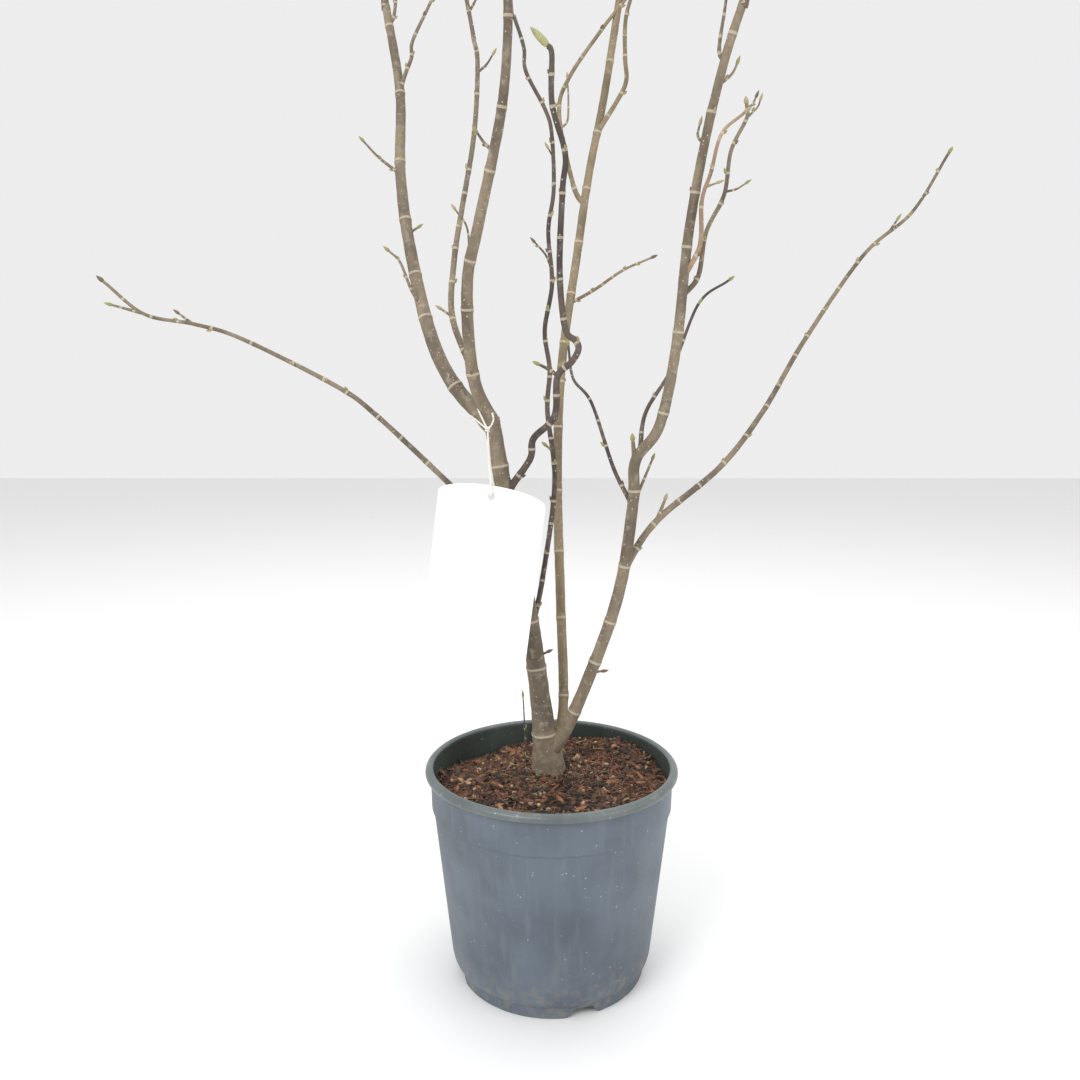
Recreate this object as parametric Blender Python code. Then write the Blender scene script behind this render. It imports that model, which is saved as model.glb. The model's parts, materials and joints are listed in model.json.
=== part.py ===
"""A saucer magnolia in its nursery pot: bare of leaves, several stems from one foot, a label tied on.

Lengths below are in millimetres and angles in degrees; MM turns lengths into Blender's metres.
The pot's foot stands on z = 0 with the pot's axis on x = y = 0. +X is right and +Y is away.
"""

import math
import random
from dataclasses import dataclass

import bmesh
import bpy
from mathutils import Vector, noise

MM = 0.001
CLEAR = 0.3
SEED = 5

# Pot, a turned shell with a rolled lip, a collar and a recessed foot ring cut by four arches
LIP_RADIUS = 109.5
POT_HEIGHT = 187.0
LIP_DROP = 6.5
LIP_CREST = 106.0
WALL = 1.8
COLLAR_RADIUS = 104.0
COLLAR_FOOT = 151.0
COLLAR_STEP = 1.6
BODY_FOOT_RADIUS = 88.0
BODY_FOOT = 20.0
LEDGE = 11.0
LEDGE_RADIUS = 84.0
FOOT_RADIUS = 82.0
FOOT_WALL = 3.2
FLOOR_UNDER = 9.0
FLOOR_TOP = 11.5
FLOOR_CORNER = 4.0
ARCHES = 4
FIRST_ARCH = 288.0
ARCH_WIDTH = 27.0
ARCH_TOP_WIDTH = 17.0
ARCH_HEIGHT = 8.0
POT_SEGMENTS = 48

# Potting mix, which fills the pot: a collar round the foot, a heap at the back right, a dip at the back left
SOIL_LEVEL = 169.0
SOIL_COLLAR = 177.0
SOIL_COLLAR_RADIUS = 21.0
SOIL_COLLAR_FADE = 30.0
HEAP_HEIGHT = 9.0
HEAP_AT = (62.0, 62.0)
HEAP_SPREAD = 42.0
DIP_DEPTH = 9.0
DIP_AT = (-65.0, 70.0)
DIP_SPREAD = 45.0
SOIL_LUMPS = 1.6
SOIL_LUMP_SIZE = 22.0
SOIL_RINGS = (36.0, 54.0, 72.0, 88.0)
SOIL_SEGMENTS = 32

# Plant
REFERENCE = Vector((0.3, 1.0, 0.2))
TRUNK_FOOT = Vector((-3.0, 0.0, SOIL_COLLAR + CLEAR))
PATH_STEP = 18.0
TWIG_STEP = 15.0
TWIG_SIDES = 4
COLLAR_SWELL = 0.25
COLLAR_LENGTH = 5.0
BUD_LENGTH = 7.0
BUD_SWELL = 0.6
FLOWER_BUD_LENGTH = 17.0
FLOWER_BUD_RADIUS = 2.7
FLOWER_BUD_SHAPE = ((0.12, 0.85), (0.45, 1.0), (0.75, 0.6), (0.95, 0.16))

# Twig rule, shared by every mass of twigs
NODE_GAP = 34.0
STRAIGHT_START = 6.0
TURN_PER_NODE = 137.5
TWIG_SPREAD = 48.0
TWIG_RISE = 0.2
TWIG_WANDER = 0.16
TWIG_SEGMENT = 24.0
TWIG_SHARE = 0.62
TWIG_THICKEST = 1.5
TWIG_THINNEST = 0.55
SIDE_TWIG_SHARE = 0.42
SIDE_TWIG_RADIUS = 0.85
SIDE_TWIGS = ((0.38, 1), (0.66, -1))
ROOTED = 7.0
RUN_GAP = 30.0
LIMB_GAP = 1.2
TWIG_GAP = 0.8

# Label: a plain card with bowed ends on a looped tie
CARD_WIDTH = 91.0
CARD_SIDE = 138.0
CARD_BOW = 11.0
CARD_THICKNESS = 0.6
CARD_TURN = -15.0
CARD_ROLL = -7.5
CARD_CENTRE = Vector((-58.0, -27.0, 350.0))
CARD_HOLE_RADIUS = 3.0
CARD_HOLE_INSET = 9.0
TIE_RADIUS = 0.8
TIE_LOOP_AT = 17.0
TIE_KNOT = Vector((-52.0, -25.0, 474.0))
TIE_KNOT_RADIUS = 2.4


@dataclass
class Limb:
    """A tapering limb: where it springs from, its thickness, and its shoots in order of growth.

    A shoot is (length, lean from upright, swing): swing 0 points right and 90 points away.
    """
    name: str
    parent: str
    at: float
    radius: tuple
    shoots: list
    bark: str = "grey_bark"
    sides: int = 8
    tip: str = "flat"
    flare: tuple = (0.0, 1.0)
    twigs: tuple = ()


# A twig on a limb is (distance along the limb, thickness, shoots)
LIMBS = [
    Limb("trunk", "", 0.0, (8.3, 6.7),
         [(6, 0, 0), (67, 7, 205), (75, 8, 195), (85, 11, 187), (76, 10, 181)],
         sides=12, flare=(7.0, 32.0),
         twigs=((112, 2.4, [(9, 70, 160)]), (104, 1.6, [(12, 62, 340)]))),
    Limb("right_stem", "trunk", 14.0, (5.6, 3.0),
         [(44, 31, 337), (109, 20, 345), (84, 10, 325), (35, 4, 305), (34, 33, 351),
          (63, 12, 326), (82, 9, 296), (67, 15, 300), (51, 18, 309), (35, 22, 316)],
         twigs=((88, 1.6, [(9, 80, 354)]), (268, 2.5, [(20, 6, 182)]),
                (236, 1.5, [(16, 23, 9), (24, 26, 27)]),
                (512, 1.2, [(8, 38, 180), (7, 12, 309)]),
                (551, 1.3, [(12, 52, 353), (7, 27, 0)]),
                (566, 1.4, [(9, 28, 199), (24, 11, 300), (22, 8, 320)]))),
    Limb("middle_stem", "trunk", 22.0, (4.4, 3.4),
         [(34, 38, 45), (101, 15, 94), (109, 11, 97), (102, 13, 80), (106, 15, 58),
          (78, 15, 56), (72, 16, 46), (97, 14, 50)],
         bark="olive_bark",
         twigs=((264, 1.8, [(14, 54, 209)]),
                (405, 1.6, [(26, 63, 347), (30, 58, 346), (27, 68, 350)]))),
    Limb("left_leader", "trunk", 304.0, (6.3, 3.6),
         [(43, 46, 165), (53, 35, 138), (84, 27, 122), (75, 21, 114), (79, 18, 96),
          (84, 17, 125)],
         twigs=((124, 1.6, [(17, 38, 217), (24, 23, 206), (12, 46, 194)]),
                (254, 1.5, [(22, 55, 193), (18, 45, 189)]),
                (196, 1.5, [(10, 61, 345)]),
                (335, 1.9, [(16, 23, 340), (14, 26, 341), (13, 7, 322), (35, 29, 350), (26, 24, 350)]),
                (400, 1.8, [(10, 29, 0), (34, 9, 60)]))),
    Limb("middle_leader", "trunk", 304.0, (5.4, 2.8),
         [(44, 24, 214), (69, 17, 264), (46, 27, 299), (74, 27, 302), (47, 22, 290), (42, 15, 272)],
         twigs=((211, 1.4, [(9, 50, 198), (8, 48, 221)]),
                (131, 1.1, [(27, 14, 110), (17, 35, 155)]))),
    Limb("third_leader", "middle_leader", 48.0, (2.7, 1.8),
         [(52, 33, 128), (49, 19, 88), (41, 14, 55), (66, 13, 45), (56, 4, 30), (22, 10, 150)],
         twigs=((52, 1.4, [(10, 60, 205)]),
                (258, 1.2, [(10, 54, 346), (8, 41, 335)]))),
    Limb("right_reach", "right_stem", 184.0, (2.9, 1.2),
         [(48, 39, 23), (72, 53, 18), (61, 41, 20), (74, 34, 23), (91, 37, 17), (59, 50, 13),
          (59, 32, 10)],
         tip="bud",
         twigs=((48, 1.9, [(18, 22, 17)]), (377, 1.2, [(11, 32, 340)]))),
    Limb("left_reach", "trunk", 201.0, (2.6, 1.2),
         [(80, 46, 178), (76, 46, 187), (39, 53, 191), (80, 63, 190), (37, 73, 190), (37, 79, 186),
          (37, 50, 188)],
         tip="bud",
         twigs=((313, 1.2, [(14, 56, 165)]), (350, 1.4, [(23, 75, 188)]))),
    Limb("twisted_bough", "trunk", 246.0, (2.9, 1.9),
         [(37, 38, 334), (18, 19, 303), (27, 48, 326), (31, 15, 285), (16, 45, 343), (11, 32, 333),
          (7, 22, 203), (12, 43, 195), (42, 14, 243), (56, 14, 277), (24, 16, 284), (33, 23, 223),
          (30, 19, 268), (6, 33, 212)],
         bark="dark_bark", tip="flower",
         twigs=((114, 1.8, [(9, 55, 180), (8, 65, 196)]),)),
    Limb("thin_stem", "trunk", 128.0, (2.3, 1.5),
         [(42, 18, 46), (84, 9, 35), (62, 7, 144), (34, 5, 50), (33, 8, 155), (39, 10, 27),
          (43, 6, 134), (34, 9, 33), (45, 6, 110), (21, 16, 160), (35, 28, 166), (20, 8, 129),
          (27, 19, 160)],
         bark="dark_bark",
         twigs=((308, 1.1, [(11, 28, 204), (12, 44, 194)]), (398, 1.0, [(7, 34, 197)]))),
    Limb("inner_side_left", "middle_stem", 500.0, (2.2, 1.5),
         [(21, 31, 158), (68, 15, 138), (36, 18, 33), (57, 35, 16), (40, 38, 13), (34, 26, 30)],
         bark="olive_bark", tip="bud",
         twigs=((76, 1.1, [(9, 44, 351), (20, 6, 66), (18, 7, 115)]),)),
    Limb("inner_side_right", "middle_stem", 570.0, (2.2, 1.5),
         [(30, 37, 338), (20, 27, 347), (22, 6, 117), (37, 9, 80), (40, 18, 24), (30, 12, 350)],
         bark="olive_bark", tip="bud"),
    Limb("grey_shoot", "right_stem", 278.0, (1.8, 1.0),
         [(35, 19, 63), (45, 35, 28), (57, 25, 25), (31, 53, 10)],
         bark="dark_bark", tip="bud", sides=6),
    Limb("dark_shoot", "right_stem", 236.0, (1.8, 1.0),
         [(34, 29, 158), (56, 21, 152), (25, 38, 165), (27, 12, 135)],
         bark="dark_bark", tip="bud", sides=6),
    Limb("tan_side", "right_stem", 420.0, (1.9, 1.1),
         [(25, 31, 322), (31, 15, 265), (20, 23, 310), (26, 19, 313), (20, 50, 345)],
         bark="tan_bark", tip="bud", sides=6,
         twigs=((66, 1.0, [(7, 75, 340)]),)),
    Limb("grey_side", "right_stem", 406.0, (1.9, 1.4),
         [(21, 43, 25), (36, 18, 52), (33, 28, 23), (34, 11, 37), (28, 27, 18), (11, 10, 87)],
         bark="grey_bark", tip="bud", sides=6,
         twigs=((92, 1.0, [(10, 75, 12), (8, 59, 10)]), (152, 1.0, [(12, 46, 14), (5, 23, 0)]),
                (159, 1.2, [(7, 51, 27), (6, 29, 23)]))),
]


@dataclass
class Mass:
    """A mass of twigs: one stem that grows on from a limb's tip, and the twigs of the rule."""
    name: str
    limb: str
    shoots: list
    tip_radius: float
    reach: float
    twig_length: float
    flower: bool = False


MASSES = [
    Mass("left_leader_twigs", "left_leader", [(95, 12, 108), (80, 7, 60), (62, 10, 130)],
         1.3, 120.0, 92.0, True),
    Mass("middle_leader_twigs", "middle_leader", [(85, 20, 275), (80, 16, 262), (75, 15, 290)],
         1.2, 125.0, 96.0, True),
    Mass("third_leader_twigs", "third_leader", [(70, 12, 150), (75, 8, 190), (60, 9, 120)],
         1.0, 95.0, 66.0),
    Mass("middle_stem_twigs", "middle_stem", [(80, 9, 60), (75, 7, 10), (60, 8, 50)],
         1.3, 120.0, 92.0, True),
    Mass("right_stem_twigs", "right_stem", [(95, 14, 296), (90, 9, 330), (85, 12, 280)],
         1.2, 125.0, 94.0, True),
    Mass("thin_stem_twigs", "thin_stem", [(75, 16, 100), (70, 9, 60), (55, 10, 130)],
         1.0, 95.0, 68.0),
]

# Shoot from the foot: where it leaves the mix, and its shoots
FOOT_SHOOT_AT = (-21.0, 25.0)
FOOT_SHOOT_RADIUS = 0.9
FOOT_SHOOT = [(30, 5, 200), (24, 3, 160), (8, 25, 100)]

COLOURS = {
    "pot_plastic": ((0.115, 0.150, 0.185), 0.55),
    "potting_mix": ((0.090, 0.045, 0.028), 0.95),
    "grey_bark": ((0.200, 0.165, 0.120), 0.80),
    "olive_bark": ((0.250, 0.205, 0.130), 0.80),
    "dark_bark": ((0.085, 0.062, 0.052), 0.80),
    "tan_bark": ((0.360, 0.250, 0.150), 0.80),
    "twig_bark": ((0.170, 0.120, 0.090), 0.80),
    "card": ((0.860, 0.880, 0.850), 0.45),
    "tie": ((0.820, 0.810, 0.760), 0.70),
}


def clear_scene():
    for thing in list(bpy.data.objects):
        bpy.data.objects.remove(thing, do_unlink=True)


def material(name):
    """A Principled material in the named colour, made once."""
    if name in bpy.data.materials:
        return bpy.data.materials[name]
    colour, roughness = COLOURS[name]
    made = bpy.data.materials.new(name)
    made.use_nodes = True
    shader = made.node_tree.nodes["Principled BSDF"]
    shader.inputs["Base Color"].default_value = (*colour, 1.0)
    shader.inputs["Roughness"].default_value = roughness
    shader.inputs["Metallic"].default_value = 0.0
    return made


def solid(name, points, faces, finish):
    """An object from points in millimetres, with its faces turned outward."""
    mesh = bpy.data.meshes.new(name)
    mesh.from_pydata([Vector(point) * MM for point in points], [], faces)
    tidy = bmesh.new()
    tidy.from_mesh(mesh)
    bmesh.ops.recalc_face_normals(tidy, faces=tidy.faces)
    bmesh.ops.triangulate(tidy, faces=[face for face in tidy.faces if len(face.verts) > 4])
    tidy.to_mesh(mesh)
    tidy.free()
    mesh.materials.append(material(finish))
    mesh.shade_smooth()
    mesh.set_sharp_from_angle(angle=math.radians(40.0))
    made = bpy.data.objects.new(name, mesh)
    bpy.context.scene.collection.objects.link(made)
    return made


def as_cutter(thing):
    thing.hide_render = True
    thing.display_type = "WIRE"
    return thing


def apply_boolean(body, operation, tools, solver="EXACT"):
    """Join or cut body with the tool objects in one Boolean, applied; the tools are removed."""
    group = bpy.data.collections.new("tools")
    bpy.context.scene.collection.children.link(group)
    for tool in tools:
        bpy.context.scene.collection.objects.unlink(tool)
        group.objects.link(as_cutter(tool))
    step = body.modifiers.new("boolean", "BOOLEAN")
    step.operation = operation
    step.operand_type = "COLLECTION"
    step.collection = group
    step.solver = solver
    graph = bpy.context.evaluated_depsgraph_get()
    result = bpy.data.meshes.new_from_object(body.evaluated_get(graph))
    body.modifiers.clear()
    old = body.data
    result.name = old.name
    body.data = result
    bpy.data.meshes.remove(old)
    for tool in tools:
        bpy.data.objects.remove(tool, do_unlink=True)
    bpy.data.collections.remove(group)
    return body


def keep_largest(body):
    """Drop the loose ends that a cut leaves beside the largest piece of a body."""
    mesh = bmesh.new()
    mesh.from_mesh(body.data)
    pieces, seen = [], set()
    for seed in mesh.verts:
        if seed in seen:
            continue
        piece, front = [], [seed]
        seen.add(seed)
        while front:
            here = front.pop()
            piece.append(here)
            for edge in here.link_edges:
                other = edge.other_vert(here)
                if other not in seen:
                    seen.add(other)
                    front.append(other)
        pieces.append(piece)
    pieces.sort(key=len)
    for piece in pieces[:-1]:
        bmesh.ops.delete(mesh, geom=piece, context="VERTS")
    mesh.to_mesh(body.data)
    mesh.free()


def turned(profile, segments):
    """Points and faces of a profile of (radius, height) pairs turned about the upright axis."""
    points, rows, faces = [], [], []
    for radius, height in profile:
        if radius == 0:
            rows.append([len(points)] * segments)
            points.append((0.0, 0.0, height))
            continue
        rows.append(range(len(points), len(points) + segments))
        for i in range(segments):
            turn = math.tau * i / segments
            points.append((radius * math.cos(turn), radius * math.sin(turn), height))
    for low, high in zip(rows, rows[1:]):
        for i in range(segments):
            j = (i + 1) % segments
            face = dict.fromkeys((low[i], low[j], high[j], high[i]))
            faces.append(tuple(face))
    return points, faces


def inner_radius(height):
    """Radius of the pot's inside wall at a height."""
    if height > COLLAR_FOOT:
        return COLLAR_RADIUS - WALL - 0.4
    rise = (height - BODY_FOOT) / (COLLAR_FOOT - BODY_FOOT)
    top = COLLAR_RADIUS - COLLAR_STEP
    return BODY_FOOT_RADIUS + (top - BODY_FOOT_RADIUS) * max(rise, -0.05) - WALL


def make_pot():
    lip_under = POT_HEIGHT - LIP_DROP
    profile = [
        (0, FLOOR_UNDER),
        (FOOT_RADIUS - FOOT_WALL, FLOOR_UNDER),
        (FOOT_RADIUS - FOOT_WALL, 0),
        (FOOT_RADIUS, 0),
        (FOOT_RADIUS + 0.6, LEDGE - 0.4),
        (LEDGE_RADIUS, LEDGE),
        (BODY_FOOT_RADIUS - 1.2, LEDGE + 3.6),
        (BODY_FOOT_RADIUS, BODY_FOOT),
        (COLLAR_RADIUS - COLLAR_STEP, COLLAR_FOOT - 1.2),
        (COLLAR_RADIUS, COLLAR_FOOT),
        (COLLAR_RADIUS + 0.8, lip_under + 0.6),
        (LIP_RADIUS - 0.9, lip_under - 0.6),
        (LIP_RADIUS, lip_under + 1.2),
        (LIP_RADIUS - 0.6, POT_HEIGHT - 2.6),
        (LIP_CREST, POT_HEIGHT),
        (LIP_CREST - 2.8, POT_HEIGHT - 0.5),
        (inner_radius(POT_HEIGHT), POT_HEIGHT - 3.0),
        (inner_radius(COLLAR_FOOT + 1), COLLAR_FOOT),
        (inner_radius(COLLAR_FOOT), COLLAR_FOOT - 1.5),
        (inner_radius(BODY_FOOT), BODY_FOOT),
        (inner_radius(BODY_FOOT) - FLOOR_CORNER, FLOOR_TOP),
        (0, FLOOR_TOP),
    ]
    pot = solid("pot", *turned(profile, POT_SEGMENTS), "pot_plastic")
    arches = []
    for i in range(ARCHES):
        turn = math.radians(FIRST_ARCH + 360.0 * i / ARCHES)
        out = Vector((math.cos(turn), math.sin(turn), 0))
        side = Vector((-out.y, out.x, 0))
        outline = [(-ARCH_WIDTH / 2, -2.0), (ARCH_WIDTH / 2, -2.0), (ARCH_WIDTH / 2, 0.0),
                   (ARCH_TOP_WIDTH / 2, ARCH_HEIGHT), (-ARCH_TOP_WIDTH / 2, ARCH_HEIGHT),
                   (-ARCH_WIDTH / 2, 0.0)]
        count = len(outline)
        points = [out * reach + side * across + Vector((0, 0, up))
                  for reach in (FOOT_RADIUS - 12, FOOT_RADIUS + 12) for across, up in outline]
        faces = [tuple(range(count)), tuple(range(count, 2 * count))]
        faces += [(k, (k + 1) % count, (k + 1) % count + count, k + count) for k in range(count)]
        arches.append(solid(f"arch_{i}", points, faces, "pot_plastic"))
    apply_boolean(pot, "DIFFERENCE", arches)


def mound(x, y, at, spread):
    """A smooth round hill of height 1."""
    return math.exp(-((x - at[0]) ** 2 + (y - at[1]) ** 2) / spread ** 2)


def soil_height(x, y):
    """Height of the potting mix at a point: its level with the heap, the dip, lumps and the collar."""
    beyond = max(math.hypot(x, y) - SOIL_COLLAR_RADIUS, 0)
    rise = math.exp(-(beyond / SOIL_COLLAR_FADE) ** 2)
    lumps = noise.noise(Vector((x, y, SEED)) / SOIL_LUMP_SIZE) * SOIL_LUMPS
    base = SOIL_LEVEL + lumps
    base += HEAP_HEIGHT * mound(x, y, HEAP_AT, HEAP_SPREAD) - DIP_DEPTH * mound(x, y, DIP_AT, DIP_SPREAD)
    return base + (SOIL_COLLAR - base) * rise


def make_soil(name="soil", lift=0.0):
    """The potting mix as one filled solid; lift raises its top, for a cutter."""
    rings = [SOIL_COLLAR_RADIUS, *SOIL_RINGS, None]
    points = [(0, 0, FLOOR_TOP + CLEAR), (0, 0, SOIL_COLLAR + lift)]
    rows = []
    floor_radius = inner_radius(BODY_FOOT) - FLOOR_CORNER - 2 * CLEAR
    for height, radius in ((FLOOR_TOP + CLEAR, floor_radius),
                           (BODY_FOOT, inner_radius(BODY_FOOT) - CLEAR),
                           (COLLAR_FOOT - 1.5, inner_radius(COLLAR_FOOT) - CLEAR)):
        rows.append(len(points))
        for i in range(SOIL_SEGMENTS):
            turn = math.tau * i / SOIL_SEGMENTS
            points.append((radius * math.cos(turn), radius * math.sin(turn), height))
    for ring in reversed(rings):
        rows.append(len(points))
        radius = ring or inner_radius(SOIL_LEVEL) - CLEAR - 0.5
        for i in range(SOIL_SEGMENTS):
            turn = math.tau * i / SOIL_SEGMENTS
            x, y = radius * math.cos(turn), radius * math.sin(turn)
            points.append((x, y, soil_height(x, y) + lift))
    faces = []
    for i in range(SOIL_SEGMENTS):
        j = (i + 1) % SOIL_SEGMENTS
        faces.append((0, rows[0] + j, rows[0] + i))
        faces.append((1, rows[-1] + i, rows[-1] + j))
        for low, high in zip(rows, rows[1:]):
            faces.append((low + i, low + j, high + j, high + i))
    return solid(name, points, faces, "potting_mix")


def pointing(lean, swing):
    lean, swing = math.radians(lean), math.radians(swing)
    return Vector((math.sin(lean) * math.cos(swing), math.sin(lean) * math.sin(swing), math.cos(lean)))


def grow(start, shoots):
    """The ends of a run of shoots."""
    knots = [Vector(start)]
    for length, lean, swing in shoots:
        knots.append(knots[-1] + pointing(lean, swing) * length)
    return knots


def smooth(knots, step):
    """A Catmull-Rom curve through the knots, with a point about every step."""
    path = [knots[0]]
    ends = [2 * knots[0] - knots[1], *knots, 2 * knots[-1] - knots[-2]]
    for a, b, c, d in zip(ends, ends[1:], ends[2:], ends[3:]):
        count = max(1, round((c - b).length / step))
        for i in range(1, count + 1):
            t = i / count
            path.append(0.5 * (2 * b + (c - a) * t + (2 * a - 5 * b + 4 * c - d) * t * t
                               + (3 * b - a - 3 * c + d) * t ** 3))
    return path


def distances(path):
    run = [0.0]
    for a, b in zip(path, path[1:]):
        run.append(run[-1] + (b - a).length)
    return run


def point_at(path, distance):
    """The point at a distance along a path."""
    for a, b in zip(path, path[1:]):
        span = (b - a).length
        if distance <= span:
            return a.lerp(b, distance / span)
        distance -= span
    return path[-1].copy()


def frames(path):
    """Tangent and two sides at each point of a path, carried along without twist."""
    found = []
    side = None
    for i, here in enumerate(path):
        along = (path[min(i + 1, len(path) - 1)] - path[max(i - 1, 0)]).normalized()
        if side is None:
            side = along.cross(REFERENCE).normalized()
        side = (side - along * side.dot(along)).normalized()
        found.append((here, along, side, along.cross(side)))
    return found


def tube(path, radii, sides, flat_tip):
    """Points and faces of a round limb along a path; its tip is flat or comes to a point."""
    points, faces = [], []
    for (here, _, side, up), radius in zip(frames(path), radii):
        for k in range(sides):
            turn = math.tau * k / sides
            points.append(here + (side * math.cos(turn) + up * math.sin(turn)) * radius)
    for i in range(len(path) - 1):
        for k in range(sides):
            a, b = i * sides + k, i * sides + (k + 1) % sides
            faces.append((a, b, b + sides, a + sides))
    faces.append(tuple(range(sides - 1, -1, -1)))
    last = (len(path) - 1) * sides
    if flat_tip:
        faces.append(tuple(range(last, last + sides)))
    else:
        along = (path[-1] - path[-2]).normalized()
        points.append(path[-1] + along * radii[-1] * 1.5)
        for k in range(sides):
            faces.append((last + k, last + (k + 1) % sides, len(points) - 1))
    return points, faces


def add_bud(path, radii, length, width, swells=((0.25, 1.0), (0.7, 0.7))):
    """Lengthen a path by a bud that swells to a width and closes to a point."""
    along = (path[-1] - path[-2]).normalized()
    tip = path[-1]
    for share, swell in swells:
        path.append(tip + along * length * share)
        radii.append(width * swell)
    return path, radii


def twig_shape(start, thickness, shoots, spread=0.0, bud=True):
    """Path and radii of one twig; spread makes it fatter all over, for a cutter."""
    path = smooth(grow(start, shoots), TWIG_STEP)
    run = distances(path)
    radii = [thickness + (max(thickness * 0.6, TWIG_THINNEST) - thickness) * d / run[-1] for d in run]
    if bud:
        add_bud(path, radii, BUD_LENGTH, radii[-1] + BUD_SWELL)
    return path, [radius + spread for radius in radii]


def limb_path(limb, paths):
    if not limb.parent:
        return smooth(grow(TRUNK_FOOT, limb.shoots), PATH_STEP)
    return smooth(grow(point_at(paths[limb.parent], limb.at), limb.shoots), PATH_STEP)


def limb_radii(limb, path):
    """Taper from base to tip, the root flare, and a small collar where a limb leaves its parent."""
    run = distances(path)
    thick, thin = limb.radius
    swell = COLLAR_SWELL * thick if limb.parent else 0.0
    return [thick + (thin - thick) * d / run[-1] + limb.flare[0] * math.exp(-d / limb.flare[1])
            + swell * math.exp(-d / COLLAR_LENGTH) for d in run]


def limb_solid(limb, paths, spread=0.0):
    """A limb with its own twigs as one closed body; spread makes it fatter, for a cutter."""
    path = list(paths[limb.name])
    radii = limb_radii(limb, path)
    if limb.tip == "bud":
        add_bud(path, radii, BUD_LENGTH, radii[-1] + BUD_SWELL)
    if limb.tip == "flower":
        add_bud(path, radii, FLOWER_BUD_LENGTH, FLOWER_BUD_RADIUS, FLOWER_BUD_SHAPE)
    radii = [radius + spread for radius in radii]
    body = solid(limb.name, *tube(path, radii, limb.sides, limb.tip == "flat"), limb.bark)
    twigs = []
    for at, thickness, shoots in limb.twigs:
        start = point_at(paths[limb.name], at)
        path, radii = twig_shape(start, thickness, shoots, spread)
        twigs.append(solid("twig", *tube(path, radii, TWIG_SIDES, False), limb.bark))
    if twigs:
        apply_boolean(body, "UNION", twigs)
    return body


def limb_samples(limb, paths):
    """Points along a limb and its twigs with the radius at each, close enough to test for touch."""
    found = []
    path = paths[limb.name]
    found += zip(path, limb_radii(limb, path))
    if limb.tip == "flower":
        along = (path[-1] - path[-2]).normalized()
        found.append((path[-1] + along * FLOWER_BUD_LENGTH / 2, FLOWER_BUD_RADIUS))
    for at, thickness, shoots in limb.twigs:
        found += zip(*twig_shape(point_at(path, at), thickness, shoots))
    return dense(found)


def dense(samples):
    """Samples with three more put between each pair that belongs to one run."""
    full = []
    for (a, ra), (b, rb) in zip(samples, samples[1:]):
        full.append((a, ra))
        if (b - a).length < RUN_GAP:
            full += [(a.lerp(b, t), ra + (rb - ra) * t) for t in (0.25, 0.5, 0.75)]
    return full + samples[-1:]


def touches(some, others, gap):
    for point, radius in some:
        for other, thickness in others:
            if (point - other).length < radius + thickness + gap:
                return True
    return False


def make_limbs(paths):
    """Each limb, cut clear of the limbs made before it that it meets or passes close to."""
    done = {}
    samples = {}
    for limb in LIMBS:
        paths[limb.name] = limb_path(limb, paths)
        samples[limb.name] = limb_samples(limb, paths)
        body = limb_solid(limb, paths)
        near = [other for other in done.values()
                if touches(samples[limb.name], samples[other.name], 1.5 * CLEAR)]
        if near:
            fatter = [limb_solid(other, paths, CLEAR) for other in near]
            for cutter in fatter:
                cutter.name = "cutter"
            apply_boolean(body, "DIFFERENCE", fatter)
            keep_largest(body)
        body.name = limb.name
        done[limb.name] = limb
    return samples


def grow_twig(rng, start, direction, length, thickness):
    """Path and radii of a twig of the rule: it wanders, and bends upward as it grows."""
    count = max(2, round(length / TWIG_SEGMENT))
    path = [Vector(start)]
    for _ in range(count):
        sway = Vector((rng.uniform(-1, 1), rng.uniform(-1, 1), rng.uniform(-1, 1))) * TWIG_WANDER
        direction = (direction + sway + Vector((0, 0, TWIG_RISE))).normalized()
        path.append(path[-1] + direction * length / count)
    radii = [thickness + (TWIG_THINNEST - thickness) * i / count for i in range(count + 1)]
    return add_bud(path, radii, BUD_LENGTH, radii[-1] + BUD_SWELL)


def twig_rule(rng, mass, stem, radii):
    """From each node of a stem a twig with its side twigs, turned round the stem node by node."""
    total = distances(stem)[-1]
    at = NODE_GAP * 0.6
    turn = rng.uniform(0, 360)
    while at < total - 8.0:
        share = at / total
        start = point_at(stem, at)
        along = (point_at(stem, at + 3.0) - point_at(stem, at - 3.0)).normalized()
        side = along.cross(REFERENCE).normalized()
        out = side * math.cos(math.radians(turn)) + along.cross(side) * math.sin(math.radians(turn))
        spread = math.radians(TWIG_SPREAD + rng.uniform(-8, 8))
        direction = along * math.cos(spread) + out * math.sin(spread)
        length = mass.twig_length * (1.0 - 0.45 * share) * rng.uniform(0.6, 1.1)
        thick = radii[0] + (radii[-1] - radii[0]) * share
        twig = grow_twig(rng, start, direction, length, min(TWIG_THICKEST, TWIG_SHARE * thick))
        side_twigs = []
        lean = (twig[0][-1] - twig[0][0]).normalized()
        for part, flip in SIDE_TWIGS:
            branch = twig[0][max(1, round(part * (len(twig[0]) - 3)))]
            aside = (lean.cross(out).normalized() * flip * 0.8 + lean * 0.7).normalized()
            side_twigs.append(grow_twig(rng, branch, aside, length * SIDE_TWIG_SHARE, SIDE_TWIG_RADIUS))
        yield twig, side_twigs
        turn += TURN_PER_NODE
        at += NODE_GAP * rng.uniform(0.8, 1.2)


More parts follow.
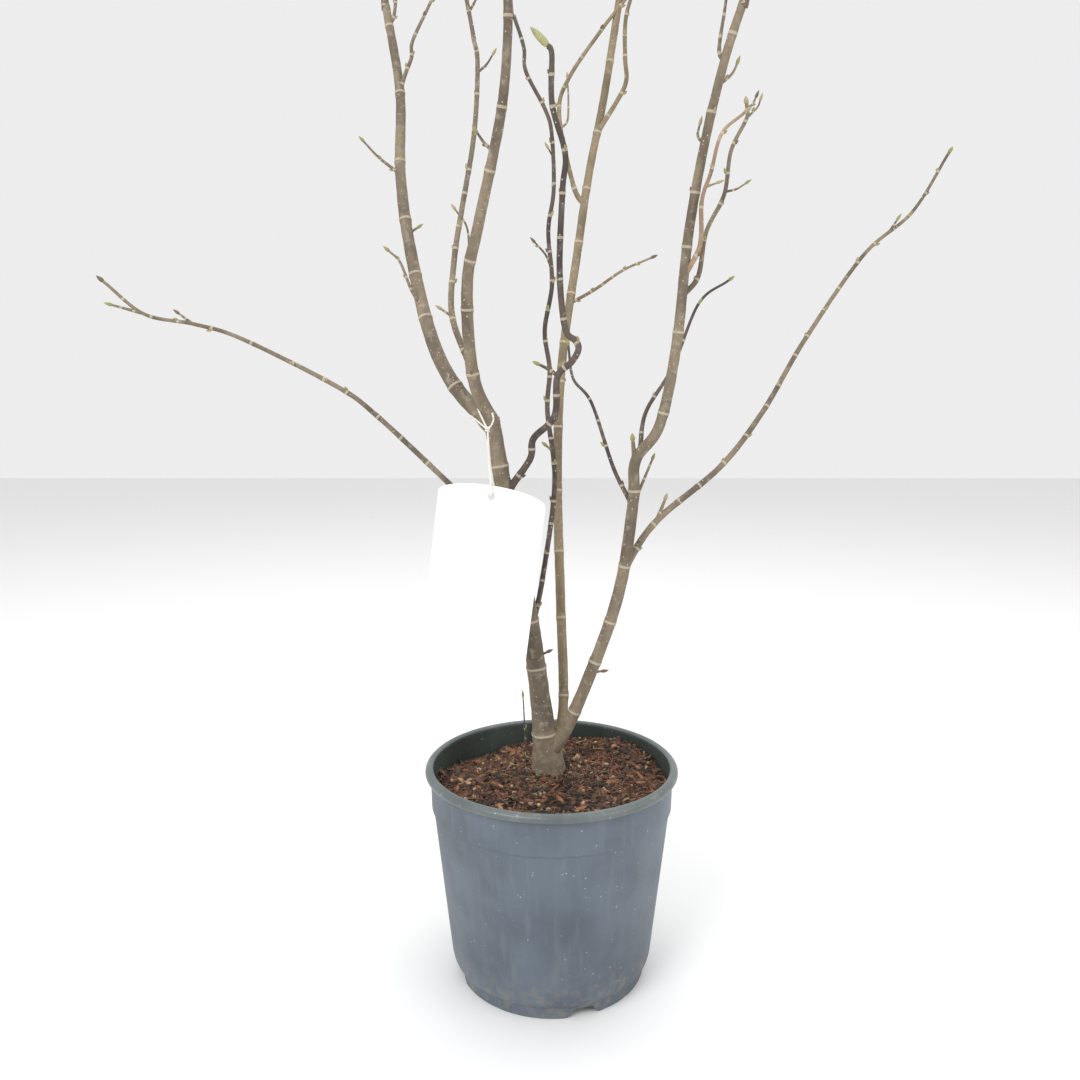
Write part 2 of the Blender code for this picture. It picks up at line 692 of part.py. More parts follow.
def make_mass(mass, paths, limbs, taken):
    """A mass of twigs, joined to its stem in one Boolean; taken holds what is there already."""
    rng = random.Random(f"{SEED} {mass.name}")
    limb_run = paths[mass.limb]
    along = (limb_run[-1] - limb_run[-2]).normalized()
    start = limb_run[-1] + along * CLEAR
    stem = smooth([start, *grow(start + along * STRAIGHT_START, mass.shoots)], PATH_STEP)
    run = distances(stem)
    thick = limbs[mass.limb].radius[1]
    radii = [thick + (mass.tip_radius - thick) * d / run[-1] for d in run]
    grown = list(zip(stem, radii))
    full, full_radii = list(stem), list(radii)
    if mass.flower:
        add_bud(full, full_radii, FLOWER_BUD_LENGTH, FLOWER_BUD_RADIUS, FLOWER_BUD_SHAPE)
    else:
        add_bud(full, full_radii, BUD_LENGTH, mass.tip_radius + BUD_SWELL)
    body = solid(mass.name, *tube(full, full_radii, 6, False), "twig_bark")
    twigs = []

    def add(path, radii):
        """Keep a twig where it stays in the mass's space and clear of everything there."""
        sample = dense(list(zip(path, radii)))
        free = [(point, radius) for point, radius in sample if (point - path[0]).length > ROOTED]
        if any(min((point - knot).length for knot in stem) > mass.reach for point, _ in free):
            return False
        if touches(free, taken, LIMB_GAP) or touches(free, grown, TWIG_GAP):
            return False
        twigs.append(solid("twig", *tube(path, radii, 3, False), "twig_bark"))
        grown.extend(sample)
        return True

    for twig, side_twigs in twig_rule(rng, mass, stem, radii):
        if add(*twig):
            for side_twig in side_twigs:
                add(*side_twig)
    apply_boolean(body, "UNION", twigs)
    print(f"{mass.name}: {len(twigs)} twigs, {len(body.data.polygons)} faces")
    taken += grown


def make_foot_shoot():
    x, y = FOOT_SHOOT_AT
    start = Vector((x, y, soil_height(x, y) - 2.0))
    path, radii = twig_shape(start, FOOT_SHOOT_RADIUS, FOOT_SHOOT)
    shoot = solid("foot_shoot", *tube(path, radii, 6, False), "dark_bark")
    apply_boolean(shoot, "DIFFERENCE", [make_soil("soil_cutter", CLEAR)])
    keep_largest(shoot)


def card_axes():
    """Across, up and facing directions of the label."""
    turn, roll = math.radians(CARD_TURN), math.radians(CARD_ROLL)
    level = Vector((math.cos(turn), math.sin(turn), 0))
    across = level * math.cos(roll) + Vector((0, 0, math.sin(roll)))
    up = Vector((0, 0, math.cos(roll))) - level * math.sin(roll)
    return across, up, across.cross(up)


def card_hole():
    across, up, _ = card_axes()
    return CARD_CENTRE + up * (CARD_SIDE / 2 + CARD_BOW - CARD_HOLE_INSET)


def make_card():
    """The label: straight sides, bowed ends, and a hole near the top."""
    across, up, facing = card_axes()
    steps = 14
    arc = [(CARD_WIDTH / 2 * math.cos(math.pi * i / steps),
            CARD_SIDE / 2 + CARD_BOW * math.sin(math.pi * i / steps)) for i in range(steps + 1)]
    outline = arc + [(-a, -b) for a, b in arc]
    count = len(outline)
    points = [CARD_CENTRE + across * a + up * b + facing * lift
              for lift in (-CARD_THICKNESS / 2, CARD_THICKNESS / 2) for a, b in outline]
    faces = [tuple(range(count)), tuple(range(count, 2 * count))]
    faces += [(k, (k + 1) % count, (k + 1) % count + count, k + count) for k in range(count)]
    card = solid("label", points, faces, "card")
    centre = card_hole()
    drill = solid("drill", *tube([centre - facing * 4, centre + facing * 4],
                                 [CARD_HOLE_RADIUS] * 2, 16, True), "card")
    apply_boolean(card, "DIFFERENCE", [drill])


def make_tie(paths, limbs):
    """The tie: a loop round the left leader's foot, a knot, and a strand through the label's hole."""
    leader = paths["left_leader"]
    centre = point_at(leader, TIE_LOOP_AT)
    along = (point_at(leader, TIE_LOOP_AT + 4) - point_at(leader, TIE_LOOP_AT - 4)).normalized()
    radius = limb_radii(limbs["left_leader"], leader)[1] + CLEAR + TIE_RADIUS + 0.5
    side = along.cross(Vector((0, 0, 1))).normalized()
    other = along.cross(side)
    steps = 14
    ring = [centre + (side * math.cos(math.tau * i / steps) + other * math.sin(math.tau * i / steps))
            * radius for i in range(steps)]
    nearest = min(range(steps), key=lambda i: (ring[i] - TIE_KNOT).length)
    ring = ring[nearest:] + ring[:nearest]
    _, up, facing = card_axes()
    hole = card_hole() + up * (CARD_HOLE_RADIUS - TIE_RADIUS - 3 * CLEAR)
    aside = facing * (CARD_THICKNESS / 2 + TIE_RADIUS + 4 * CLEAR)
    halfway = TIE_KNOT.lerp(hole, 0.5)
    down = [TIE_KNOT, halfway + facing * 1.5, hole + aside + up * 4, hole + aside * 0.8,
            hole - aside * 0.8, hole - aside + up * 4, halfway - facing * 1.5, TIE_KNOT]
    loops = [smooth(down, 8.0), smooth([TIE_KNOT, *ring[1:-1], TIE_KNOT], 8.0)]
    knot_path = [TIE_KNOT + Vector((0, 0, lift)) for lift in (2.0, 1.0, 0.0, -1.0, -2.0)]
    knot_radii = [TIE_KNOT_RADIUS * share for share in (0.5, 0.9, 1.0, 0.9, 0.5)]
    body = solid("label_tie", *tube(knot_path, knot_radii, 8, True), "tie")
    strands = [solid("strand", *tube(path, [TIE_RADIUS] * len(path), 6, True), "tie") for path in loops]
    apply_boolean(body, "UNION", strands)
    fatter = [limb_solid(limbs[name], paths, CLEAR)
              for name in ("trunk", "left_leader", "middle_leader")]
    apply_boolean(body, "DIFFERENCE", fatter)
    keep_largest(body)


def build():
    """Make every solid of the potted plant."""
    clear_scene()
    limbs = {limb.name: limb for limb in LIMBS}
    paths = {}
    make_pot()
    make_soil()
    samples = make_limbs(paths)
    taken = [sample for found in samples.values() for sample in found]
    for mass in MASSES:
        make_mass(mass, paths, limbs, taken)
    make_foot_shoot()
    make_card()
    make_tie(paths, limbs)


build()
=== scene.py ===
# %% [markdown]
# # A saucer magnolia in its pot, before the leaves
# The imported model is the frame: it has every limb, the pot and the label at their real size. This
# script dresses it. The box round the imported model is kept first, because the dressed plant has to
# stay the same size, to within a millimetre. The last cell prints both boxes.

# %% Load the imported model
import json
import math
import random
from dataclasses import dataclass

import bpy
import numpy as np
from mathutils import Euler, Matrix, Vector, noise

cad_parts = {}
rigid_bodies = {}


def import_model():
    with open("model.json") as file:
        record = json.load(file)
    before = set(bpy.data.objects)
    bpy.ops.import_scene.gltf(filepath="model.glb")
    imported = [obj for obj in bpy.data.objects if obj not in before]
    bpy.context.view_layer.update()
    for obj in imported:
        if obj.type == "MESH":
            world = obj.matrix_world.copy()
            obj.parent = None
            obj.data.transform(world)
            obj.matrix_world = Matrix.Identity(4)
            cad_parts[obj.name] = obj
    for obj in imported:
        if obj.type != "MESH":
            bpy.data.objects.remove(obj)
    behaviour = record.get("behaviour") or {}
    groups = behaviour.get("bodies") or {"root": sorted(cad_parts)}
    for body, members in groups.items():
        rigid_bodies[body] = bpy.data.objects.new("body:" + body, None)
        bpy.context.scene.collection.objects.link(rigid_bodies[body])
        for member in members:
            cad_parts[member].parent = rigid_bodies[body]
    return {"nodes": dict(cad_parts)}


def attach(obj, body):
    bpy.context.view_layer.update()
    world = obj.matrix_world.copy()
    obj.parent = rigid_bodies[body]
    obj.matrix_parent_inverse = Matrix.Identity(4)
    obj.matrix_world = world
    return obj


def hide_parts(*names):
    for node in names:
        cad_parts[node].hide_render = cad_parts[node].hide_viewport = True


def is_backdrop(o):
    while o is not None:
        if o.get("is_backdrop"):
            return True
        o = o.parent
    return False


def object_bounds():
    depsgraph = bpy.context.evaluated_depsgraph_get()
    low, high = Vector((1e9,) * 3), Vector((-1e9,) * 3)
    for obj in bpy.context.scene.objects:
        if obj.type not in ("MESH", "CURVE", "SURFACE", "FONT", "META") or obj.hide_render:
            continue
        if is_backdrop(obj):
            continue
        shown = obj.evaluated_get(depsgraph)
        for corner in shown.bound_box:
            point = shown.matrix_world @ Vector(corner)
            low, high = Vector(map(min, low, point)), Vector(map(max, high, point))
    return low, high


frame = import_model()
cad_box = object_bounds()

MM = 0.001
SEED = 5
print("packed nodes:", len(frame["nodes"]))
print("packed corners:", [tuple(round(c, 3) for c in corner) for corner in cad_box])

# %% [markdown]
# ## Shaders as sums
# A material is easiest to read as arithmetic: a mask times a colour, one minus another mask. Blender
# builds that from Math nodes, so a small class wraps a socket and makes the nodes when two values are
# added or multiplied. Colours go through a Mix node instead, because a Math node would turn them grey.

# %% Values that add up to shader nodes
class Value:
    """One output socket of a material's tree, which can be used in sums."""

    def __init__(self, paint, socket):
        self.paint = paint
        self.socket = socket

    def sum(self, operation, *others):
        inputs = dict(enumerate((self, *others)))
        return self.paint.node("ShaderNodeMath", {"operation": operation}, inputs)

    def __add__(self, other):
        return self.sum("ADD", other)

    def __mul__(self, other):
        return self.sum("MULTIPLY", other)

    def __rsub__(self, other):
        return self.sum("MULTIPLY_ADD", -1.0, other)

    __radd__ = __add__
    __rmul__ = __mul__

    def rises(self, low, high):
        """0 below low, 1 above high, and a smooth rise between."""
        limits = {"Value": self, "From Min": low, "From Max": high}
        return self.paint.node("ShaderNodeMapRange", {"interpolation_type": "SMOOTHSTEP"}, limits)


class Paint:
    """One material. Any node comes from node(): its type, its settings, its sockets' values or links."""

    def __init__(self, name, colour, **constants):
        self.material = bpy.data.materials.new(name)
        self.material.use_nodes = True
        self.tree = self.material.node_tree
        self.surface = self.tree.nodes["Principled BSDF"]
        self.surface.inputs["Base Color"].default_value = (*colour, 1.0)
        for socket, value in constants.items():
            self.surface.inputs[socket.replace("_", " ")].default_value = value
        self.place = self.node("ShaderNodeTexCoord", output="Object")

    def node(self, kind, settings=None, inputs=None, output=0):
        made = self.tree.nodes.new(kind)
        for setting, value in (settings or {}).items():
            setattr(made, setting, value)
        for socket, value in (inputs or {}).items():
            if isinstance(value, Value):
                self.tree.links.new(value.socket, made.inputs[socket])
            else:
                made.inputs[socket].default_value = value
        return Value(self, made.outputs[output])

    def noise(self, size, detail=3.0, stretch=(1, 1, 1)):
        """Cloudy noise whose blotches are about size metres across, drawn out by stretch."""
        spot = self.node("ShaderNodeVectorMath", {"operation": "DIVIDE"}, {0: self.place, 1: stretch})
        return self.node("ShaderNodeTexNoise", inputs={"Vector": spot, "Scale": 1 / size, "Detail": detail})

    def cells(self, size):
        """How far a spot is from the heart of its cell, among cells about size metres across."""
        inputs = {"Vector": self.place, "Scale": 1 / size}
        return self.node("ShaderNodeTexVoronoi", inputs=inputs, output="Distance")

    def mark(self, name):
        """A number that the mesh carries at each point."""
        return self.node("ShaderNodeAttribute", {"attribute_name": name}, output="Fac")

    def mix(self, share, one, other):
        """One colour turning into another."""
        colours = [c if isinstance(c, Value) else (*c, 1.0) for c in (one, other)]
        return self.node("ShaderNodeMix", {"data_type": "RGBA"}, {0: share, 6: colours[0], 7: colours[1]},
                         output=2)

    def finish(self, colour=None, rough=None, height=None, depth=0.0005):
        """Link what changes over the surface: its colour, its roughness and its relief."""
        if colour:
            self.tree.links.new(colour.socket, self.surface.inputs["Base Color"])
        if rough:
            self.tree.links.new(rough.socket, self.surface.inputs["Roughness"])
        if height:
            bump = self.node("ShaderNodeBump", inputs={"Height": height, "Distance": depth})
            self.tree.links.new(bump.socket, self.surface.inputs["Normal"])
        return self


# %% [markdown]
# ## Many small shapes, one mesh
# A plant has thousands of twigs, buds and chips of bark. As objects they would be slow, and particles
# and instances are lost on export, so each kind is gathered in a stock and made into one mesh. A face
# remembers which of a few plain paints it gets, and a point remembers how much of a ring scar it is.

# %% The stock
class Stock:
    """Points in millimetres, faces, paint numbers and scar marks of shapes that become one mesh."""

    def __init__(self):
        self.points, self.faces, self.tones, self.scars = [], [], [], []

    def add(self, points, faces, tone=0, scars=None):
        first = len(self.points)
        self.points += points
        self.faces += [tuple(first + corner for corner in face) for face in faces]
        self.tones += [tone] * len(faces)
        self.scars += scars or [0.0] * len(points)

    def piece(self, name, paints, slot, *nodes, sharp=40.0):
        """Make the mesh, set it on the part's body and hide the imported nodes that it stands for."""
        mesh = bpy.data.meshes.new(name)
        mesh.from_pydata([Vector(point) * MM for point in self.points], [], self.faces)
        for paint in paints:
            mesh.materials.append(paint.material)
        mesh.polygons.foreach_set("material_index", self.tones)
        mesh.attributes.new("scar", "FLOAT", "POINT").data.foreach_set("value", self.scars)
        mesh.shade_smooth()
        mesh.set_sharp_from_angle(angle=math.radians(sharp))
        made = bpy.data.objects.new(name, mesh)
        bpy.context.scene.collection.objects.link(made)
        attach(made, "root")
        if nodes:
            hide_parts(*nodes)
        print(f"{name}: {sum(len(face) - 2 for face in self.faces)} triangles")
        return made


# %% [markdown]
# ## How a limb is written down
# A magnolia grows in yearly shoots, each a little off the line of the last. So a limb is a list of
# shoots: length, lean from upright, and the way that it swings. A smooth curve through the ends of the
# shoots gives the limb's line. These are the same shoots that the solids were made from.

# %% Shoots and paths
REFERENCE = Vector((0.3, 1.0, 0.2))
CLEAR = 0.3
PATH_STEP = 18.0
TWIG_STEP = 15.0


def pointing(lean, swing):
    lean, swing = math.radians(lean), math.radians(swing)
    return Vector((math.sin(lean) * math.cos(swing), math.sin(lean) * math.sin(swing), math.cos(lean)))


def grow(start, shoots):
    """The ends of a run of shoots."""
    knots = [Vector(start)]
    for length, lean, swing in shoots:
        knots.append(knots[-1] + pointing(lean, swing) * length)
    return knots


def smooth(knots, step):
    """A Catmull-Rom curve through the knots, with a point about every step."""
    path = [knots[0]]
    ends = [2 * knots[0] - knots[1], *knots, 2 * knots[-1] - knots[-2]]
    for a, b, c, d in zip(ends, ends[1:], ends[2:], ends[3:]):
        count = max(1, round((c - b).length / step))
        for i in range(1, count + 1):
            t = i / count
            path.append(0.5 * (2 * b + (c - a) * t + (2 * a - 5 * b + 4 * c - d) * t * t
                               + (3 * b - a - 3 * c + d) * t ** 3))
    return path


def distances(path):
    run = [0.0]
    for a, b in zip(path, path[1:]):
        run.append(run[-1] + (b - a).length)
    return run


def point_at(path, distance):
    """The point at a distance along a path."""
    for a, b in zip(path, path[1:]):
        span = (b - a).length
        if distance <= span:
            return a.lerp(b, distance / span)
        distance -= span
    return path[-1].copy()


# %% The plant's limbs
@dataclass
class Limb:
    """A tapering limb: what it springs from and where, its thickness, its shoots and its own twigs."""
    name: str
    parent: str
    at: float
    radius: tuple
    shoots: list
    bark: str = "grey_bark"
    tip: str = "flat"
    flare: tuple = (0.0, 1.0)
    twigs: tuple = ()


SOIL_COLLAR = 177.0
TRUNK_FOOT = Vector((-3.0, 0.0, SOIL_COLLAR + CLEAR))
LIMBS = [
    Limb("trunk", "", 0.0, (8.3, 6.7),
         [(6, 0, 0), (67, 7, 205), (75, 8, 195), (85, 11, 187), (76, 10, 181)],
         flare=(7.0, 32.0),
         twigs=((112, 2.4, [(9, 70, 160)]), (104, 1.6, [(12, 62, 340)]))),
    Limb("right_stem", "trunk", 14.0, (5.6, 3.0),
         [(44, 31, 337), (109, 20, 345), (84, 10, 325), (35, 4, 305), (34, 33, 351),
          (63, 12, 326), (82, 9, 296), (67, 15, 300), (51, 18, 309), (35, 22, 316)],
         twigs=((88, 1.6, [(9, 80, 354)]), (268, 2.5, [(20, 6, 182)]),
                (236, 1.5, [(16, 23, 9), (24, 26, 27)]),
                (512, 1.2, [(8, 38, 180), (7, 12, 309)]),
                (551, 1.3, [(12, 52, 353), (7, 27, 0)]),
                (566, 1.4, [(9, 28, 199), (24, 11, 300), (22, 8, 320)]))),
    Limb("middle_stem", "trunk", 22.0, (4.4, 3.4),
         [(34, 38, 45), (101, 15, 94), (109, 11, 97), (102, 13, 80), (106, 15, 58),
          (78, 15, 56), (72, 16, 46), (97, 14, 50)],
         bark="olive_bark",
         twigs=((264, 1.8, [(14, 54, 209)]),
                (405, 1.6, [(26, 63, 347), (30, 58, 346), (27, 68, 350)]))),
    Limb("left_leader", "trunk", 304.0, (6.3, 3.6),
         [(43, 46, 165), (53, 35, 138), (84, 27, 122), (75, 21, 114), (79, 18, 96),
          (84, 17, 125)],
         twigs=((124, 1.6, [(17, 38, 217), (24, 23, 206), (12, 46, 194)]),
                (254, 1.5, [(22, 55, 193), (18, 45, 189)]),
                (196, 1.5, [(10, 61, 345)]),
                (335, 1.9, [(16, 23, 340), (14, 26, 341), (13, 7, 322), (35, 29, 350), (26, 24, 350)]),
                (400, 1.8, [(10, 29, 0), (34, 9, 60)]))),
    Limb("middle_leader", "trunk", 304.0, (5.4, 2.8),
         [(44, 24, 214), (69, 17, 264), (46, 27, 299), (74, 27, 302), (47, 22, 290), (42, 15, 272)],
         twigs=((211, 1.4, [(9, 50, 198), (8, 48, 221)]),
                (131, 1.1, [(27, 14, 110), (17, 35, 155)]))),
    Limb("third_leader", "middle_leader", 48.0, (2.7, 1.8),
         [(52, 33, 128), (49, 19, 88), (41, 14, 55), (66, 13, 45), (56, 4, 30), (22, 10, 150)],
         twigs=((52, 1.4, [(10, 60, 205)]),
                (258, 1.2, [(10, 54, 346), (8, 41, 335)]))),
    Limb("right_reach", "right_stem", 184.0, (2.9, 1.2),
         [(48, 39, 23), (72, 53, 18), (61, 41, 20), (74, 34, 23), (91, 37, 17), (59, 50, 13),
          (59, 32, 10)],
         tip="bud",
         twigs=((48, 1.9, [(18, 22, 17)]), (377, 1.2, [(11, 32, 340)]))),
    Limb("left_reach", "trunk", 201.0, (2.6, 1.2),
         [(80, 46, 178), (76, 46, 187), (39, 53, 191), (80, 63, 190), (37, 73, 190), (37, 79, 186),
          (37, 50, 188)],
         tip="bud",
         twigs=((313, 1.2, [(14, 56, 165)]), (350, 1.4, [(23, 75, 188)]))),
    Limb("twisted_bough", "trunk", 246.0, (2.9, 1.9),
         [(37, 38, 334), (18, 19, 303), (27, 48, 326), (31, 15, 285), (16, 45, 343), (11, 32, 333),
          (7, 22, 203), (12, 43, 195), (42, 14, 243), (56, 14, 277), (24, 16, 284), (33, 23, 223),
          (30, 19, 268), (6, 33, 212)],
         bark="dark_bark", tip="flower",
         twigs=((114, 1.8, [(9, 55, 180), (8, 65, 196)]),)),
    Limb("thin_stem", "trunk", 128.0, (2.3, 1.5),
         [(42, 18, 46), (84, 9, 35), (62, 7, 144), (34, 5, 50), (33, 8, 155), (39, 10, 27),
          (43, 6, 134), (34, 9, 33), (45, 6, 110), (21, 16, 160), (35, 28, 166), (20, 8, 129),
          (27, 19, 160)],
         bark="dark_bark",
         twigs=((308, 1.1, [(11, 28, 204), (12, 44, 194)]), (398, 1.0, [(7, 34, 197)]))),
    Limb("inner_side_left", "middle_stem", 500.0, (2.2, 1.5),
         [(21, 31, 158), (68, 15, 138), (36, 18, 33), (57, 35, 16), (40, 38, 13), (34, 26, 30)],
         bark="olive_bark", tip="bud",
         twigs=((76, 1.1, [(9, 44, 351), (20, 6, 66), (18, 7, 115)]),)),
    Limb("inner_side_right", "middle_stem", 570.0, (2.2, 1.5),
         [(30, 37, 338), (20, 27, 347), (22, 6, 117), (37, 9, 80), (40, 18, 24), (30, 12, 350)],
         bark="olive_bark", tip="bud"),
    Limb("grey_shoot", "right_stem", 278.0, (1.8, 1.0),
         [(35, 19, 63), (45, 35, 28), (57, 25, 25), (31, 53, 10)],
         bark="dark_bark", tip="bud"),
    Limb("dark_shoot", "right_stem", 236.0, (1.8, 1.0),
         [(34, 29, 158), (56, 21, 152), (25, 38, 165), (27, 12, 135)],
         bark="dark_bark", tip="bud"),
    Limb("tan_side", "right_stem", 420.0, (1.9, 1.1),
         [(25, 31, 322), (31, 15, 265), (20, 23, 310), (26, 19, 313), (20, 50, 345)],
         bark="tan_bark", tip="bud",
         twigs=((66, 1.0, [(7, 75, 340)]),)),
    Limb("grey_side", "right_stem", 406.0, (1.9, 1.4),
         [(21, 43, 25), (36, 18, 52), (33, 28, 23), (34, 11, 37), (28, 27, 18), (11, 10, 87)],
         tip="bud",
         twigs=((92, 1.0, [(10, 75, 12), (8, 59, 10)]), (152, 1.0, [(12, 46, 14), (5, 23, 0)]),
                (159, 1.2, [(7, 51, 27), (6, 29, 23)]))),
]
named_limbs = {limb.name: limb for limb in LIMBS}

knots, paths = {}, {}
for limb in LIMBS:
    start = point_at(paths[limb.parent], limb.at) if limb.parent else TRUNK_FOOT
    knots[limb.name] = grow(start, limb.shoots)
    paths[limb.name] = smooth(knots[limb.name], PATH_STEP)
print("length of all limbs, m:", round(sum(distances(path)[-1] for path in paths.values()) * MM, 2))

# %% [markdown]
# ## The skin of a limb
# A real limb is never a plain cone. It swells where it leaves its parent, thickens at every node,
# keeps a ring scar where each year's shoot began, and is slightly uneven all over. The skin is a tube
# whose rings crowd together at the nodes, and each ring's radius is the taper times those swellings.
# That keeps the relief in the mesh, so it shows in the outline as well.

# %% Rings round a path
NODE_REACH = (0.0, 0.7, 1.4, 2.3, 3.6)
NODE_SWELL = 0.10
NODE_WIDTH = 2.4
NO_NODE_NEAR = 99.0
CLOSEST_RINGS = 0.25
SCAR_WIDTH = 1.1
UNEVEN = 0.05
UNEVEN_ROUND = 1.4
UNEVEN_LENGTH = 9.0
HEADING_SPAN = 1.5


class Run:
    """A path read by the distance from its start."""

    def __init__(self, through):
        path = smooth(through, 1.0)
        self.far = distances(path)
        self.length = self.far[-1]
        self.axes = np.array(path).T

    def at(self, stations):
        return [Vector(point) for point in zip(*(np.interp(stations, self.far, axis) for axis in self.axes))]

    def heading(self, station):
        before, after = self.at([station - HEADING_SPAN, station + HEADING_SPAN])
        return (after - before).normalized()

    def tip(self):
        """The end of the path, and the way that it heads there."""
        end, = self.at([self.length])
        return end, self.heading(self.length - HEADING_SPAN)


def frames(path):
    """Each point of a path with two sides, carried along without twist."""
    found = []
    side = None
    for i, here in enumerate(path):
        along = (path[min(i + 1, len(path) - 1)] - path[max(i - 1, 0)]).normalized()
        side = side or along.cross(REFERENCE).normalized()
        side = (side - along * side.dot(along)).normalized()
        found.append((here, side, along.cross(side)))
    return found


def tube(path, radii, sides, reach=None):
    """Points and faces round a path. reach(i, turn) gives the radius where it isn't round."""
    points, faces = [], []
    for i, (here, side, up) in enumerate(frames(path)):
        for k in range(sides):
            turn = math.tau * k / sides
            out = reach(i, turn) if reach else radii[i]
            points.append(here + (side * math.cos(turn) + up * math.sin(turn)) * out)
    for i in range(len(path) - 1):
        for k in range(sides):
            a, b = i * sides + k, i * sides + (k + 1) % sides
            faces.append((a, b, b + sides, a + sides))
    faces.append(tuple(range(sides - 1, -1, -1)))
    last = (len(path) - 1) * sides
    faces.append(tuple(range(last, last + sides)))
    return points, faces


def stations_along(length, nodes, step):
    """Distances of the rings: an even step, and closer ones at each node."""
    found = set(np.linspace(0.0, length, max(2, round(length / step)) + 1))
    for node in nodes:
        found.update(node + sign * off for off in NODE_REACH for sign in (-1, 1))
    found = sorted(place for place in found if 0.0 <= place <= length)
    return [a for a, b in zip(found, [*found[1:], length + 1.0]) if b - a > CLOSEST_RINGS]


def skin(stock, run, radius_at, nodes, sides, step, lobes=None):
    """Add a limb's or a twig's skin to a stock, with its swellings and scars at the nodes."""
    stations = stations_along(run.length, nodes, step)
    path = run.at(stations)
    rings, marks = [], []
    for place in stations:
        near = min((abs(place - node) for node in nodes), default=NO_NODE_NEAR)
        rings.append(radius_at(place) * (1.0 + NODE_SWELL * math.exp(-(near / NODE_WIDTH) ** 2)))
        marks += [math.exp(-(near / SCAR_WIDTH) ** 2)] * sides

    def reach(i, turn):
        along = stations[i] / UNEVEN_LENGTH
        spot = Vector((math.cos(turn) * UNEVEN_ROUND, math.sin(turn) * UNEVEN_ROUND, along)) + path[0]
        rough = 1.0 + UNEVEN * noise.noise(spot)
        return rings[i] * rough * (lobes(stations[i], turn) if lobes else 1.0)

    stock.add(*tube(path, rings, sides, reach), scars=marks)


# %% [markdown]
# ## Buds
# Bare of leaves, a magnolia is known by its buds: small pointed ones pressed to the stems at each
# node, a slightly larger one at each twig's tip, and fat furry ones that hold the flowers. A bud is a
# turned shape, so its outline is a few shares of its length and width. Hairs make the flower buds
# soft at the edge, which a smooth shape with a fur colour wouldn't.

# %% Bud shapes
LEAF_BUD = ((0.0, 0.55), (0.12, 0.86), (0.35, 1.0), (0.6, 0.8), (0.82, 0.45), (1.0, 0.08))
FLOWER_BUD = ((0.0, 0.45), (0.07, 0.8), (0.2, 0.97), (0.42, 1.0), (0.62, 0.86), (0.8, 0.56), (0.93, 0.26),
              (1.0, 0.04))
BUD_LENGTH = 7.0
BUD_SWELL = 0.6
BUD_FIT = 0.94
BUD_SIDES = 7
FLOWER_BUD_LENGTH = 17.0
FLOWER_BUD_RADIUS = 2.7
FLOWER_BUD_FIT = 0.96
FLOWER_BUD_SIDES = 16
HAIRS = 420
HAIR = 1.3
HAIR_ROOT = 0.92
HAIR_WIDTH = 0.09

bud_rng = random.Random(f"{SEED} buds")
leaf_buds, flower_buds, bud_hairs = Stock(), Stock(), Stock()


def add_leaf_bud(base, along, length, width):
    """A pointed bud in one of the bud paints."""
    path = [base + along * length * share for share, _ in LEAF_BUD]
    radii = [width * swell for _, swell in LEAF_BUD]
    leaf_buds.add(*tube(path, radii, BUD_SIDES), tone=bud_rng.choice((0, 0, 1, 2)))


def add_tip_bud(run, thickness, length=BUD_LENGTH):
    """The leaf bud at the end of a path."""
    add_leaf_bud(*run.tip(), length * BUD_FIT, thickness + BUD_SWELL)


def add_flower_bud(base, along):
    """A furry bud: a turned body and hairs that lie towards its tip."""
    length = FLOWER_BUD_LENGTH * FLOWER_BUD_FIT
    path = [base + along * length * share for share, _ in FLOWER_BUD]
    radii = [FLOWER_BUD_RADIUS * swell * BUD_FIT for _, swell in FLOWER_BUD]
    flower_buds.add(*tube(path, radii, FLOWER_BUD_SIDES))
    side = along.cross(REFERENCE).normalized()
    other = along.cross(side)
    for _ in range(HAIRS):
        share = bud_rng.uniform(0.04, 0.93)
        swell = np.interp(share, *zip(*FLOWER_BUD)) * FLOWER_BUD_RADIUS * HAIR_ROOT
        turn = bud_rng.uniform(0, math.tau)
        out = side * math.cos(turn) + other * math.sin(turn)
        root = base + along * length * share + out * swell
        across = along.cross(out) * HAIR_WIDTH
        tip = root + (along * 0.9 + out * 0.28) * HAIR * bud_rng.uniform(0.6, 1.1)
        bud_hairs.add([root - across, root + across, root + out * 0.12 - along * 0.1, tip],
                      [(0, 1, 3), (1, 2, 3), (2, 0, 3), (0, 2, 1)])


# %% [markdown]
# ## Bark
# Young magnolia bark is smooth and grey to olive, mottled, with small cream lenticels and pale rings
# at the old bud scars. Each is a mask here: two sizes of cloudy noise for the mottling, scattered cells
# for the lenticels, and the mesh's own scar mark for the rings. The same function paints each limb's
# bark, from three colours set near those in the photograph.

# %% Bark paints
LENTICEL = (0.56, 0.49, 0.36)


